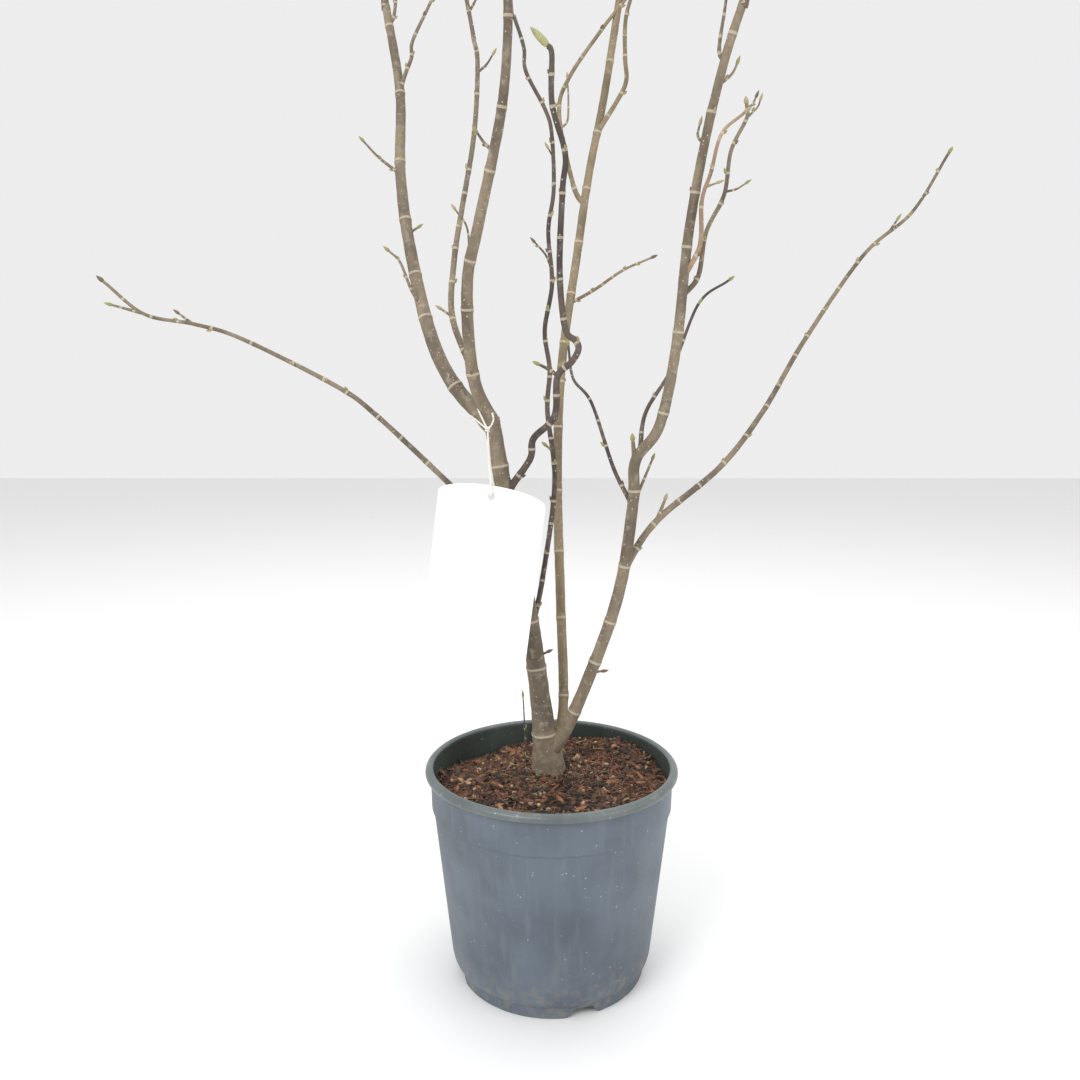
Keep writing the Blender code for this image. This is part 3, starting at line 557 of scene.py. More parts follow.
def bark(name, ground, dark, pale, rough=0.72):
    """Smooth bark: blotches, fine mottling, cream lenticels and scar rings."""
    paint = Paint(name, ground, Roughness=rough)
    blotch = paint.noise(0.020, 4, (1, 1, 2.5)).rises(0.38, 0.66)
    mottle = paint.noise(0.0022, 4, (1, 1, 1.6))
    bloom = paint.noise(0.007, 3).rises(0.52, 0.74)
    chosen = paint.noise(0.0035, 0).rises(0.44, 0.48)
    spots = (1 - paint.cells(0.0034).rises(0.13, 0.24)) * chosen
    scar = paint.mark("scar")
    colour = paint.mix(blotch, ground, dark)
    colour = paint.mix(bloom * 0.55, colour, pale)
    colour = paint.mix(mottle.rises(0.45, 0.75) * 0.45, colour, dark)
    colour = paint.mix(spots * 0.8, colour, LENTICEL)
    colour = paint.mix(scar.rises(0.25, 0.7) * 0.6, colour, LENTICEL)
    height = mottle * 0.5 + spots * 0.7 + blotch * 0.15
    return paint.finish(colour, height=height, depth=0.0006)


barks = {
    "grey_bark": bark("grey_bark", (0.235, 0.185, 0.125), (0.115, 0.088, 0.062), (0.36, 0.31, 0.24)),
    "olive_bark": bark("olive_bark", (0.270, 0.210, 0.130), (0.150, 0.115, 0.070), (0.37, 0.31, 0.22)),
    "dark_bark": bark("dark_bark", (0.105, 0.078, 0.062), (0.050, 0.036, 0.030), (0.20, 0.165, 0.14)),
    "tan_bark": bark("tan_bark", (0.370, 0.260, 0.165), (0.200, 0.140, 0.090), (0.46, 0.37, 0.27)),
    "twig_bark": bark("twig_bark", (0.150, 0.105, 0.078), (0.075, 0.052, 0.042), (0.25, 0.20, 0.16), 0.6),
}
bud_paints = [
    Paint("bud_green", (0.270, 0.260, 0.095), Roughness=0.6),
    Paint("bud_brown", (0.150, 0.100, 0.060), Roughness=0.6),
    Paint("bud_tan", (0.340, 0.290, 0.160), Roughness=0.6),
]
for paint in bud_paints:
    paint.finish(height=paint.noise(0.0012, 3, (1, 1, 3)), depth=0.0003)
flower_paint = Paint("bud_velvet", (0.400, 0.400, 0.190), Roughness=0.85)
velvet = flower_paint.noise(0.0030, 3, (1, 1, 3))
flower_paint.finish(flower_paint.mix(velvet.rises(0.4, 0.7), (0.40, 0.40, 0.19), (0.27, 0.24, 0.11)),
                    height=velvet, depth=0.0004)
hair_paint = Paint("bud_hair", (0.560, 0.570, 0.360), Roughness=0.8)
print("bark paints:", ", ".join(barks))

# %% [markdown]
# ## Trunk, stems and boughs
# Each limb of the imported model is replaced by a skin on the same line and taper. The trunk gets the
# low ribs that run up from its root flare, and a corky collar just above the mix. A limb's base swells
# outside its parent's own bark, the way that wood grows round a joint.

# %% Dress the limbs
COLLAR_SWELL = 0.32
COLLAR_LENGTH = 7.0
RIBS = 5
RIB_DEPTH = 0.16
RIB_FADE = 20.0
RIB_SHARE = 0.6
RIB_START = 0.8
RIB_TWIST = 0.02
CORK_AT = 16.0
CORK_WIDTH = 7.0
CORK_SWELL = 0.05
TRUNK_LUMPS = 0.05
SIDES = {"trunk": 48, "right_stem": 28, "middle_stem": 28, "left_leader": 28, "middle_leader": 24}
OTHER_SIDES = 16
TURN_PER_NODE = 137.5
BUD_SUNK = 0.85
BUD_LEAN = 0.45
BUD_SLENDER = 0.27
TWIG_THINNEST = 0.55
TWIG_TAPER = 0.6
TWIG_FIRST_NODE = 7.0
TWIG_NODE_GAP = 13.0
TWIG_RING_STEP = 3.0
TWIG_BUD = 3.4
TWIG_BUD_SHARE = 0.6
limb_rng = random.Random(f"{SEED} limbs")


@dataclass
class Wood:
    """How wood of an age is dressed: where its nodes are, its rings' step, its buds' size and share."""
    first_node: float
    node_gap: float
    ring_step: float
    bud: float
    bud_share: float


OLD_WOOD = Wood(38, 52, 1.6, 3.6, 0.35)
YOUNG_WOOD = Wood(14, 26, 2.2, 4.2, 0.8)
OLD_WOOD_RADIUS = 4.0


def taper(limb, distance, length):
    thick, thin = limb.radius
    return thick + (thin - thick) * distance / length + limb.flare[0] * math.exp(-distance / limb.flare[1])


def trunk_lobes(distance, turn):
    """Ribs that fade up from the flare, and the corky ring above the mix."""
    swing = RIBS * turn + RIB_START + distance * RIB_TWIST
    ribs = RIB_DEPTH * math.exp(-distance / RIB_FADE) * math.cos(swing)
    cork = CORK_SWELL * math.exp(-((distance - CORK_AT) / CORK_WIDTH) ** 2)
    lumps = TRUNK_LUMPS * noise.noise(Vector((math.cos(turn) * 2.2, math.sin(turn) * 2.2, distance / 14.0)))
    return 1.0 + ribs * RIB_SHARE + cork + lumps


def nodes_along(rng, length, first, gap):
    """Distances of the nodes on a limb, a little uneven."""
    found, place = [], first
    while place < length - 3.0:
        found.append(place)
        place += gap * rng.uniform(0.7, 1.35)
    return found


def side_buds(rng, run, nodes, radius_at, size, share):
    """A bud at a share of the nodes, each turned on from the last."""
    turn = rng.uniform(0, math.tau)
    for node in nodes:
        turn += math.radians(TURN_PER_NODE)
        if rng.random() > share:
            continue
        here, = run.at([node])
        along = run.heading(node)
        side = along.cross(REFERENCE).normalized()
        out = side * math.cos(turn) + along.cross(side) * math.sin(turn)
        length = size * rng.uniform(0.8, 1.2)
        heading = (along + out * BUD_LEAN).normalized()
        add_leaf_bud(here + out * radius_at(node) * BUD_SUNK, heading, length, length * BUD_SLENDER)


def even_taper(run, thick, thin):
    """The radius at each place of a path that thins evenly."""
    return lambda place: thick + (thin - thick) * place / run.length


def add_twig(stock, rng, through, thick, thin, sides=8, bud=BUD_LENGTH):
    """A twig with nodes, side buds and the bud at its tip."""
    run = Run(through)
    nodes = nodes_along(rng, run.length, TWIG_FIRST_NODE, TWIG_NODE_GAP)
    radius_at = even_taper(run, thick, thin)
    skin(stock, run, radius_at, nodes, sides, TWIG_RING_STEP)
    side_buds(rng, run, nodes, radius_at, TWIG_BUD, TWIG_BUD_SHARE)
    add_tip_bud(run, thin, bud)


def dress_limb(limb):
    run = Run(knots[limb.name])
    parent_radius = 0.0
    if limb.parent:
        parent_radius = taper(named_limbs[limb.parent], limb.at, distances(paths[limb.parent])[-1])
    stock = Stock()

    def radius_at(place):
        swell = 0.0
        if limb.parent:
            outside = max(place - parent_radius, 0.0)
            swell = COLLAR_SWELL * math.exp(-outside / COLLAR_LENGTH)
        return taper(limb, place, run.length) * (1.0 + swell)

    wood = OLD_WOOD if limb.radius[0] > OLD_WOOD_RADIUS else YOUNG_WOOD
    nodes = nodes_along(limb_rng, run.length, parent_radius + wood.first_node, wood.node_gap)
    lobes = trunk_lobes if limb.name == "trunk" else None
    skin(stock, run, radius_at, nodes, SIDES.get(limb.name, OTHER_SIDES), wood.ring_step, lobes)
    side_buds(limb_rng, run, nodes, radius_at, wood.bud, wood.bud_share)
    for at, thick, shoots in limb.twigs:
        through = grow(point_at(paths[limb.name], at), shoots)
        add_twig(stock, limb_rng, through, thick, max(thick * TWIG_TAPER, TWIG_THINNEST))
    if limb.tip == "bud":
        add_tip_bud(run, limb.radius[1])
    if limb.tip == "flower":
        add_flower_bud(*run.tip())
    stock.piece(f"{limb.name}_bark", [barks[limb.bark]], limb.bark, limb.name)


for limb in LIMBS:
    dress_limb(limb)

# %% [markdown]
# ## The crown's twigs
# The crown isn't drawn twig by twig. A rule grows it: from each node of a stem comes a twig, turned on
# from the last by 137.5 degrees, that wanders and bends upward and has side twigs of its own. A twig
# that would leave the mass's space, or touch what is already there, is skipped. The rule and its seed
# are the solids' own, so every point of a mass's solid has a skin less than two millimetres away, and
# short spurs carry the rule on to finer wood.

# %% The rule for twigs
NODE_GAP = 34.0
STRAIGHT_START = 6.0
TWIG_SPREAD = 48.0
TWIG_RISE = 0.2
TWIG_WANDER = 0.16
TWIG_SEGMENT = 24.0
TWIG_SHARE = 0.62
TWIG_THICKEST = 1.5
SIDE_TWIG_SHARE = 0.42
SIDE_TWIG_RADIUS = 0.85
SIDE_TWIGS = ((0.38, 1), (0.66, -1))
ROOTED = 7.0
RUN_GAP = 30.0
LIMB_GAP = 1.2
TWIG_GAP = 0.8
SOLID_COLLAR_SWELL = 0.25
SOLID_COLLAR_LENGTH = 5.0
SOLID_BUD = ((0.25, 1.0), (0.7, 0.7))


@dataclass
class Mass:
    """A mass of twigs: the stem that grows on from a limb's tip, and the size of its twigs."""
    name: str
    limb: str
    shoots: list
    tip_radius: float
    reach: float
    twig_length: float
    flower: bool = False


MASSES = [
    Mass("left_leader_twigs", "left_leader", [(95, 12, 108), (80, 7, 60), (62, 10, 130)],
         1.3, 120.0, 92.0, True),
    Mass("middle_leader_twigs", "middle_leader", [(85, 20, 275), (80, 16, 262), (75, 15, 290)],
         1.2, 125.0, 96.0, True),
    Mass("third_leader_twigs", "third_leader", [(70, 12, 150), (75, 8, 190), (60, 9, 120)],
         1.0, 95.0, 66.0),
    Mass("middle_stem_twigs", "middle_stem", [(80, 9, 60), (75, 7, 10), (60, 8, 50)],
         1.3, 120.0, 92.0, True),
    Mass("right_stem_twigs", "right_stem", [(95, 14, 296), (90, 9, 330), (85, 12, 280)],
         1.2, 125.0, 94.0, True),
    Mass("thin_stem_twigs", "thin_stem", [(75, 16, 100), (70, 9, 60), (55, 10, 130)],
         1.0, 95.0, 68.0),
]


def add_bud(path, radii, length, width):
    """Lengthen a path by a bud, as the solids have it."""
    along = (path[-1] - path[-2]).normalized()
    tip = path[-1]
    for share, swell in SOLID_BUD:
        path.append(tip + along * length * share)
        radii.append(width * swell)
    return path, radii


def twig_shape(start, thickness, shoots):
    path = smooth(grow(start, shoots), TWIG_STEP)
    run = distances(path)
    thin = max(thickness * TWIG_TAPER, TWIG_THINNEST)
    radii = [thickness + (thin - thickness) * d / run[-1] for d in run]
    return add_bud(path, radii, BUD_LENGTH, radii[-1] + BUD_SWELL)


def dense(samples):
    """Samples with three more put between each pair that belongs to one run."""
    full = []
    for (a, ra), (b, rb) in zip(samples, samples[1:]):
        full.append((a, ra))
        if (b - a).length < RUN_GAP:
            full += [(a.lerp(b, t), ra + (rb - ra) * t) for t in (0.25, 0.5, 0.75)]
    return full + samples[-1:]


def limb_samples(limb):
    """Points along a limb and its twigs with the radius at each."""
    path = paths[limb.name]
    run = distances(path)
    swell = SOLID_COLLAR_SWELL * limb.radius[0] if limb.parent else 0.0
    found = [(here, taper(limb, d, run[-1]) + swell * math.exp(-d / SOLID_COLLAR_LENGTH))
             for here, d in zip(path, run)]
    if limb.tip == "flower":
        along = (path[-1] - path[-2]).normalized()
        found.append((path[-1] + along * FLOWER_BUD_LENGTH / 2, FLOWER_BUD_RADIUS))
    for at, thickness, shoots in limb.twigs:
        found += zip(*twig_shape(point_at(path, at), thickness, shoots))
    return dense(found)


def touches(some, others, gap):
    for point, radius in some:
        for other, thickness in others:
            if (point - other).length < radius + thickness + gap:
                return True
    return False


def grow_twig(rng, start, direction, length, thickness):
    """Path and radii of a twig of the rule: it wanders, and bends upward as it grows."""
    count = max(2, round(length / TWIG_SEGMENT))
    path = [Vector(start)]
    for _ in range(count):
        sway = Vector((rng.uniform(-1, 1), rng.uniform(-1, 1), rng.uniform(-1, 1))) * TWIG_WANDER
        direction = (direction + sway + Vector((0, 0, TWIG_RISE))).normalized()
        path.append(path[-1] + direction * length / count)
    radii = [thickness + (TWIG_THINNEST - thickness) * i / count for i in range(count + 1)]
    return add_bud(path, radii, BUD_LENGTH, radii[-1] + BUD_SWELL)


def twig_rule(rng, mass, stem, radii):
    """From each node of a stem a twig with its side twigs, turned round the stem node by node."""
    total = distances(stem)[-1]
    at = NODE_GAP * 0.6
    turn = rng.uniform(0, 360)
    while at < total - 8.0:
        share = at / total
        start = point_at(stem, at)
        along = (point_at(stem, at + 3.0) - point_at(stem, at - 3.0)).normalized()
        side = along.cross(REFERENCE).normalized()
        out = side * math.cos(math.radians(turn)) + along.cross(side) * math.sin(math.radians(turn))
        spread = math.radians(TWIG_SPREAD + rng.uniform(-8, 8))
        direction = along * math.cos(spread) + out * math.sin(spread)
        length = mass.twig_length * (1.0 - 0.45 * share) * rng.uniform(0.6, 1.1)
        thick = radii[0] + (radii[-1] - radii[0]) * share
        twig = grow_twig(rng, start, direction, length, min(TWIG_THICKEST, TWIG_SHARE * thick))
        side_twigs = []
        lean = (twig[0][-1] - twig[0][0]).normalized()
        for part, flip in SIDE_TWIGS:
            branch = twig[0][max(1, round(part * (len(twig[0]) - 3)))]
            aside = (lean.cross(out).normalized() * flip * 0.8 + lean * 0.7).normalized()
            side_twigs.append(grow_twig(rng, branch, aside, length * SIDE_TWIG_SHARE, SIDE_TWIG_RADIUS))
        yield twig, side_twigs
        turn += TURN_PER_NODE
        at += NODE_GAP * rng.uniform(0.8, 1.2)


# %% Grow the masses
SPUR_GAP = 17.0
SPUR_SHARE = 0.6
SPUR_RADIUS = 0.62
SPUR_TIP = 0.45
SPUR_LENGTHS = (5.0, 20.0)
SPUR_SIDES = 6
SPUR_BUD = 4.6
SPUR_CLEAR = 0.5
BOX_MARGIN = 2.0
STEM_SIDES = 16
STEM_FIRST_NODE = 24.0
STEM_NODE_GAP = 30.0
STEM_RING_STEP = 2.4
STEM_BUD = 4.4
taken = [sample for limb in LIMBS for sample in limb_samples(limb)]
low, high = (corner / MM for corner in cad_box)


def inside(path):
    """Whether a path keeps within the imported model's box."""
    return all(low[k] + BOX_MARGIN < point[k] < high[k] - BOX_MARGIN for point in path for k in range(3))


def add_spurs(stock, rng, path, mass, stem, grown):
    """Short spurs along a twig: the rule's last, finest step."""
    total = distances(path)[-1]
    at = SPUR_GAP * rng.uniform(0.6, 1.2)
    while at < total - 6.0:
        start = point_at(path, at)
        along = (point_at(path, at + 2.0) - point_at(path, at - 2.0)).normalized()
        out = along.cross(Vector((rng.uniform(-1, 1), rng.uniform(-1, 1), rng.uniform(-1, 1)))).normalized()
        length = rng.uniform(*SPUR_LENGTHS)
        bend = (along * 0.75 + out * 0.65 + Vector((0, 0, 0.15))).normalized()
        spur = [start, start + bend * length * 0.5, start + (bend + along * 0.2).normalized() * length]
        free = [(point, SPUR_RADIUS) for point in spur[1:]]
        at += SPUR_GAP * rng.uniform(0.7, 1.3)
        if rng.random() > SPUR_SHARE or not inside(spur) or touches(free, taken + grown, SPUR_CLEAR):
            continue
        if min((spur[-1] - knot).length for knot in stem) > mass.reach:
            continue
        add_twig(stock, rng, spur, SPUR_RADIUS, SPUR_TIP, SPUR_SIDES, SPUR_BUD)
        grown.extend(dense([(point, SPUR_RADIUS) for point in spur]))


def grow_mass(mass):
    """One mass of twigs on the solids' own rule, with spurs."""
    rng = random.Random(f"{SEED} {mass.name}")
    fine = random.Random(f"{SEED} {mass.name} spurs")
    run = paths[mass.limb]
    along = (run[-1] - run[-2]).normalized()
    start = run[-1] + along * CLEAR
    through = [start, *grow(start + along * STRAIGHT_START, mass.shoots)]
    stem = smooth(through, PATH_STEP)
    total = distances(stem)
    thick = named_limbs[mass.limb].radius[1]
    radii = [thick + (mass.tip_radius - thick) * d / total[-1] for d in total]
    grown = list(zip(stem, radii))
    kept = []

    def clear(path, radii):
        sample = dense(list(zip(path, radii)))
        free = [(point, radius) for point, radius in sample if (point - path[0]).length > ROOTED]
        if any(min((point - knot).length for knot in stem) > mass.reach for point, _ in free):
            return False
        if touches(free, taken, LIMB_GAP) or touches(free, grown, TWIG_GAP):
            return False
        grown.extend(sample)
        kept.append((path, radii))
        return True

    for twig, side_twigs in twig_rule(rng, mass, stem, radii):
        if clear(*twig):
            for side_twig in side_twigs:
                clear(*side_twig)

    stock = Stock()
    stem_run = Run([start - along * 1.0, *through[1:]])
    nodes = [0.5, *nodes_along(fine, stem_run.length, STEM_FIRST_NODE, STEM_NODE_GAP)]
    radius_at = even_taper(stem_run, thick, mass.tip_radius)
    skin(stock, stem_run, radius_at, nodes, STEM_SIDES, STEM_RING_STEP)
    side_buds(fine, stem_run, nodes, radius_at, STEM_BUD, TWIG_BUD_SHARE)
    if mass.flower:
        add_flower_bud(*stem_run.tip())
    else:
        add_tip_bud(stem_run, mass.tip_radius)
    for path, radii in kept:
        add_twig(stock, fine, path[:-2], radii[0], radii[-3])
    for path, _ in kept:
        add_spurs(stock, fine, path[:-2], mass, stem, grown)
    taken.extend(grown)
    stock.piece(f"{mass.name}_fine", [barks["twig_bark"]], "twig_bark", mass.name)


for mass in MASSES:
    grow_mass(mass)

# %% [markdown]
# ## Pot
# The pot is a moulded nursery pot: a rolled lip, a collar, a tapering body and a foot ring with four
# arches that let water out. It is turned from one profile, whose corners are rounded by a formula, as
# a mould rounds them. The arches are cut with a Boolean, because they aren't round about the axis.

# %% The pot's profile
LIP_RADIUS = 109.5
POT_HEIGHT = 187.0
LIP_DROP = 6.5
LIP_CREST = 106.0
WALL = 1.8
COLLAR_RADIUS = 104.0
COLLAR_FOOT = 151.0
COLLAR_STEP = 1.6
BODY_FOOT_RADIUS = 88.0
BODY_FOOT = 20.0
LEDGE = 11.0
LEDGE_RADIUS = 84.0
FOOT_RADIUS = 82.0
FOOT_WALL = 3.2
FLOOR_UNDER = 9.0
FLOOR_TOP = 11.5
FLOOR_CORNER = 4.0
ARCHES = 4
FIRST_ARCH = 288.0
ARCH_WIDTH = 27.0
ARCH_TOP_WIDTH = 17.0
ARCH_HEIGHT = 8.0
ARCH_ROUND = 1.4
ARCH_SILL = 0.4
BELOW_FLOOR = 2.0
POT_SEGMENTS = 192


def inner_radius(height):
    """Radius of the pot's inside wall at a height."""
    if height > COLLAR_FOOT:
        return COLLAR_RADIUS - WALL - 0.4
    rise = (height - BODY_FOOT) / (COLLAR_FOOT - BODY_FOOT)
    top = COLLAR_RADIUS - COLLAR_STEP
    return BODY_FOOT_RADIUS + (top - BODY_FOOT_RADIUS) * max(rise, -0.05) - WALL


def rounded(corners, steps=5):
    """A profile of (radius, height, fillet) corners with each one rounded by a short curve."""
    found = []
    for i, (radius, height, fillet) in enumerate(corners):
        here = Vector((radius, height))
        if fillet == 0 or i in (0, len(corners) - 1):
            found.append(here)
            continue
        before = Vector(corners[i - 1][:2]) - here
        after = Vector(corners[i + 1][:2]) - here
        cut = min(fillet, before.length * 0.45, after.length * 0.45)
        start, end = here + before.normalized() * cut, here + after.normalized() * cut
        for k in range(steps + 1):
            t = k / steps
            found.append(start * (1 - t) ** 2 + here * 2 * t * (1 - t) + end * t * t)
    return found


LIP_UNDER = POT_HEIGHT - LIP_DROP
OUTSIDE = [
    (0, FLOOR_UNDER, 0), (FOOT_RADIUS - FOOT_WALL, FLOOR_UNDER, 1.2), (FOOT_RADIUS - FOOT_WALL, 0, 0.7),
    (FOOT_RADIUS, 0, 1.0), (FOOT_RADIUS + 0.6, LEDGE - 0.4, 0.5), (LEDGE_RADIUS, LEDGE, 0.6),
    (BODY_FOOT_RADIUS - 1.2, LEDGE + 3.6, 3.0), (BODY_FOOT_RADIUS, BODY_FOOT, 6.0),
    (COLLAR_RADIUS - COLLAR_STEP, COLLAR_FOOT - 1.2, 0.8), (COLLAR_RADIUS, COLLAR_FOOT, 0.8),
    (COLLAR_RADIUS + 0.8, LIP_UNDER + 0.6, 0.9), (LIP_RADIUS - 0.9, LIP_UNDER - 0.6, 0.7),
    (LIP_RADIUS, LIP_UNDER + 1.2, 1.2), (LIP_RADIUS - 0.6, POT_HEIGHT - 2.6, 2.4),
    (LIP_CREST, POT_HEIGHT, 2.0),
]
INSIDE = [
    (LIP_CREST - 2.8, POT_HEIGHT - 0.5, 1.6), (inner_radius(POT_HEIGHT), POT_HEIGHT - 3.0, 1.6),
    (inner_radius(COLLAR_FOOT + 1), COLLAR_FOOT, 0.6), (inner_radius(COLLAR_FOOT), COLLAR_FOOT - 1.5, 0.6),
    (inner_radius(BODY_FOOT), BODY_FOOT, 3.0), (inner_radius(BODY_FOOT) - FLOOR_CORNER, FLOOR_TOP, 2.0),
    (0, FLOOR_TOP, 0),
]


def turned(profile, segments):
    """Points and faces of a profile turned about the upright axis."""
    points, rows, faces = [], [], []
    for radius, height in profile:
        if radius == 0:
            rows.append([len(points)] * segments)
            points.append(Vector((0.0, 0.0, height)))
            continue
        rows.append(range(len(points), len(points) + segments))
        for i in range(segments):
            turn = math.tau * i / segments
            points.append(Vector((radius * math.cos(turn), radius * math.sin(turn), height)))
    for lower, upper in zip(rows, rows[1:]):
        for i in range(segments):
            j = (i + 1) % segments
            faces.append(tuple(dict.fromkeys((lower[i], lower[j], upper[j], upper[i]))))
    return points, faces


# %% [markdown]
# The plastic is matte and slate blue, with pale flecks and a glossier lip. Scuffs, faint streaks and
# dried splashes are added, because such pots pick them up in a nursery. Each of these is a mask again,
# and the height above the floor, which keeps the splashes low, is read from the place itself.

# %% Pot paints
def height_of(paint):
    """The height above the floor, in metres."""
    return paint.node("ShaderNodeSeparateXYZ", inputs={0: paint.place}, output="Z")


def pot_plastic(name, ground, dark, pale, gloss):
    paint = Paint(name, ground, Roughness=gloss, IOR=1.5)
    tall = height_of(paint)
    cloud = paint.noise(0.055, 4)
    streak = paint.noise(0.006, 3, (1, 1, 14)).rises(0.5, 0.8)
    grain = paint.noise(0.0011, 3)
    speck = (1 - paint.cells(0.0052).rises(0.07, 0.16)) * paint.noise(0.013, 2).rises(0.5, 0.62)
    scuff = paint.noise(0.009, 6, (2.4, 2.4, 0.7)).rises(0.66, 0.80)
    splash = (1 - tall.rises(0.006, 0.05)) * paint.noise(0.008, 4).rises(0.42, 0.7)
    colour = paint.mix(cloud.rises(0.35, 0.7), ground, dark)
    colour = paint.mix(streak * 0.28, colour, pale)
    colour = paint.mix(scuff * 0.4, colour, pale)
    colour = paint.mix(speck * 0.75, colour, (0.42, 0.42, 0.38))
    colour = paint.mix(splash * 0.45, colour, (0.26, 0.22, 0.17))
    worn = gloss + scuff * 0.18 + cloud * 0.16 + streak * 0.08
    return paint.finish(colour, worn, grain * 0.5 + scuff * 0.5 + cloud * 0.3, 0.00025)


pot_body = pot_plastic("pot_plastic", (0.105, 0.133, 0.165), (0.072, 0.092, 0.116), (0.20, 0.22, 0.235), 0.42)
pot_inside = pot_plastic("pot_inside", (0.045, 0.060, 0.052), (0.026, 0.036, 0.032), (0.10, 0.115, 0.09), 0.5)
pot_lip = pot_plastic("pot_lip", (0.120, 0.140, 0.140), (0.080, 0.098, 0.100), (0.27, 0.28, 0.255), 0.26)

# %% Turn the pot and cut its arches
profile = rounded(OUTSIDE + INSIDE)
lip_rows = [i for i, (radius, height) in enumerate(profile) if height > LIP_UNDER - 0.7 and radius > 102.5]
wall_end = max(lip_rows)
pot = Stock()
pot.add(*turned(profile, POT_SEGMENTS))
for face in range(len(pot.faces)):
    row = face // POT_SEGMENTS
    pot.tones[face] = 2 if row in lip_rows else (1 if row > wall_end else 0)
pot_shell = pot.piece("pot_shell", [pot_body, pot_inside, pot_lip], "pot_plastic", "pot")


def arch_cutter(turn, steps=8):
    """A block with sloping sides and a round top that cuts one arch through the foot ring."""
    out = Vector((math.cos(turn), math.sin(turn), 0))
    side = Vector((-out.y, out.x, 0))
    angles = [math.pi * k / steps for k in range(steps + 1)]
    top = [(math.cos(angle) * ARCH_TOP_WIDTH / 2, ARCH_HEIGHT - ARCH_ROUND + ARCH_ROUND * math.sin(angle))
           for angle in angles]
    half = ARCH_WIDTH / 2
    outline = [(-half, -BELOW_FLOOR), (half, -BELOW_FLOOR), (half, ARCH_SILL), *top, (-half, ARCH_SILL)]
    count = len(outline)
    points = [(out * reach + side * across + Vector((0, 0, up))) * MM
              for reach in (FOOT_RADIUS - 12, FOOT_RADIUS + 12) for across, up in outline]
    faces = [tuple(range(count - 1, -1, -1)), tuple(range(count, 2 * count))]
    faces += [(k, (k + 1) % count, (k + 1) % count + count, k + count) for k in range(count)]
    return points, faces


def cut(body, points, faces):
    """Cut a closed shape out of a piece, and apply it."""
    mesh = bpy.data.meshes.new("cutter")
    mesh.from_pydata(points, [], faces)
    tool = bpy.data.objects.new("cutter", mesh)
    bpy.context.scene.collection.objects.link(tool)
    step = body.modifiers.new("cut", "BOOLEAN")
    step.operation = "DIFFERENCE"
    step.object = tool
    step.solver = "EXACT"
    with bpy.context.temp_override(object=body, active_object=body):
        bpy.ops.object.modifier_apply(modifier="cut")
    bpy.data.objects.remove(tool, do_unlink=True)


for i in range(ARCHES):
    cut(pot_shell, *arch_cutter(math.radians(FIRST_ARCH + 360.0 * i / ARCHES)))
pot_shell.data.set_sharp_from_angle(angle=math.radians(40.0))
print("pot faces:", len(pot_shell.data.polygons))

# %% [markdown]
# ## Potting mix
# Bark-based mix is mostly chips: reddish, brown and black slabs at every angle, with fine crumbs
# between them, pale roots round the trunk and a few yellow grains of feed. A bumpy surface alone looks
# like mud, so the chips are real little slabs, dealt out over the same heap and hollows as the solid.

# %% The surface of the mix
SOIL_LEVEL = 169.0
SOIL_COLLAR_RADIUS = 21.0
SOIL_COLLAR_FADE = 30.0
HEAP_HEIGHT = 9.0
HEAP_AT = (62.0, 62.0)
HEAP_SPREAD = 42.0
DIP_DEPTH = 9.0
DIP_AT = (-65.0, 70.0)
DIP_SPREAD = 45.0
SOIL_LUMPS = 1.6
SOIL_LUMP_SIZE = 22.0
MIX_RINGS = 84
MIX_RING_SPREAD = 0.8
MIX_SEGMENTS = 240
MIX_SKIRT = 150.0


def mound(x, y, at, spread):
    """A smooth round hill of height 1."""
    return math.exp(-((x - at[0]) ** 2 + (y - at[1]) ** 2) / spread ** 2)


def soil_height(x, y):
    """Height of the mix at a point: its level with the heap, the dip, lumps and the collar."""
    beyond = max(math.hypot(x, y) - SOIL_COLLAR_RADIUS, 0)
    rise = math.exp(-(beyond / SOIL_COLLAR_FADE) ** 2)
    lumps = noise.noise(Vector((x, y, SEED)) / SOIL_LUMP_SIZE) * SOIL_LUMPS
    base = SOIL_LEVEL + lumps
    base += HEAP_HEIGHT * mound(x, y, HEAP_AT, HEAP_SPREAD) - DIP_DEPTH * mound(x, y, DIP_AT, DIP_SPREAD)
    return base + (SOIL_COLLAR - base) * rise


def crumbled(x, y):
    """The mix's height with its crumbs."""
    spot = Vector((x, y, 7.0))
    return soil_height(x, y) + noise.noise(spot / 6.0) * 1.3 + noise.noise(spot / 2.3) * 0.8 - 0.4


mix_rim = inner_radius(SOIL_LEVEL) - 0.5
mix = Stock()
points = [Vector((0, 0, crumbled(0, 0)))]
for ring in range(1, MIX_RINGS + 1):
    radius = mix_rim * (ring / MIX_RINGS) ** MIX_RING_SPREAD
    for k in range(MIX_SEGMENTS):
        turn = math.tau * k / MIX_SEGMENTS
        x, y = radius * math.cos(turn), radius * math.sin(turn)
        points.append(Vector((x, y, crumbled(x, y))))
for k in range(MIX_SEGMENTS):
    turn = math.tau * k / MIX_SEGMENTS
    reach = inner_radius(MIX_SKIRT) - 0.5
    points.append(Vector((reach * math.cos(turn), reach * math.sin(turn), MIX_SKIRT)))
faces = [(0, 1 + k, 1 + (k + 1) % MIX_SEGMENTS) for k in range(MIX_SEGMENTS)]
for row in range(MIX_RINGS):
    for k in range(MIX_SEGMENTS):
        a, b = 1 + row * MIX_SEGMENTS + k, 1 + row * MIX_SEGMENTS + (k + 1) % MIX_SEGMENTS
        faces.append((a, a + MIX_SEGMENTS, b + MIX_SEGMENTS, b))
last = 1 + MIX_RINGS * MIX_SEGMENTS
faces.append(tuple(range(last, last + MIX_SEGMENTS))[::-1])
mix.add(points, faces)

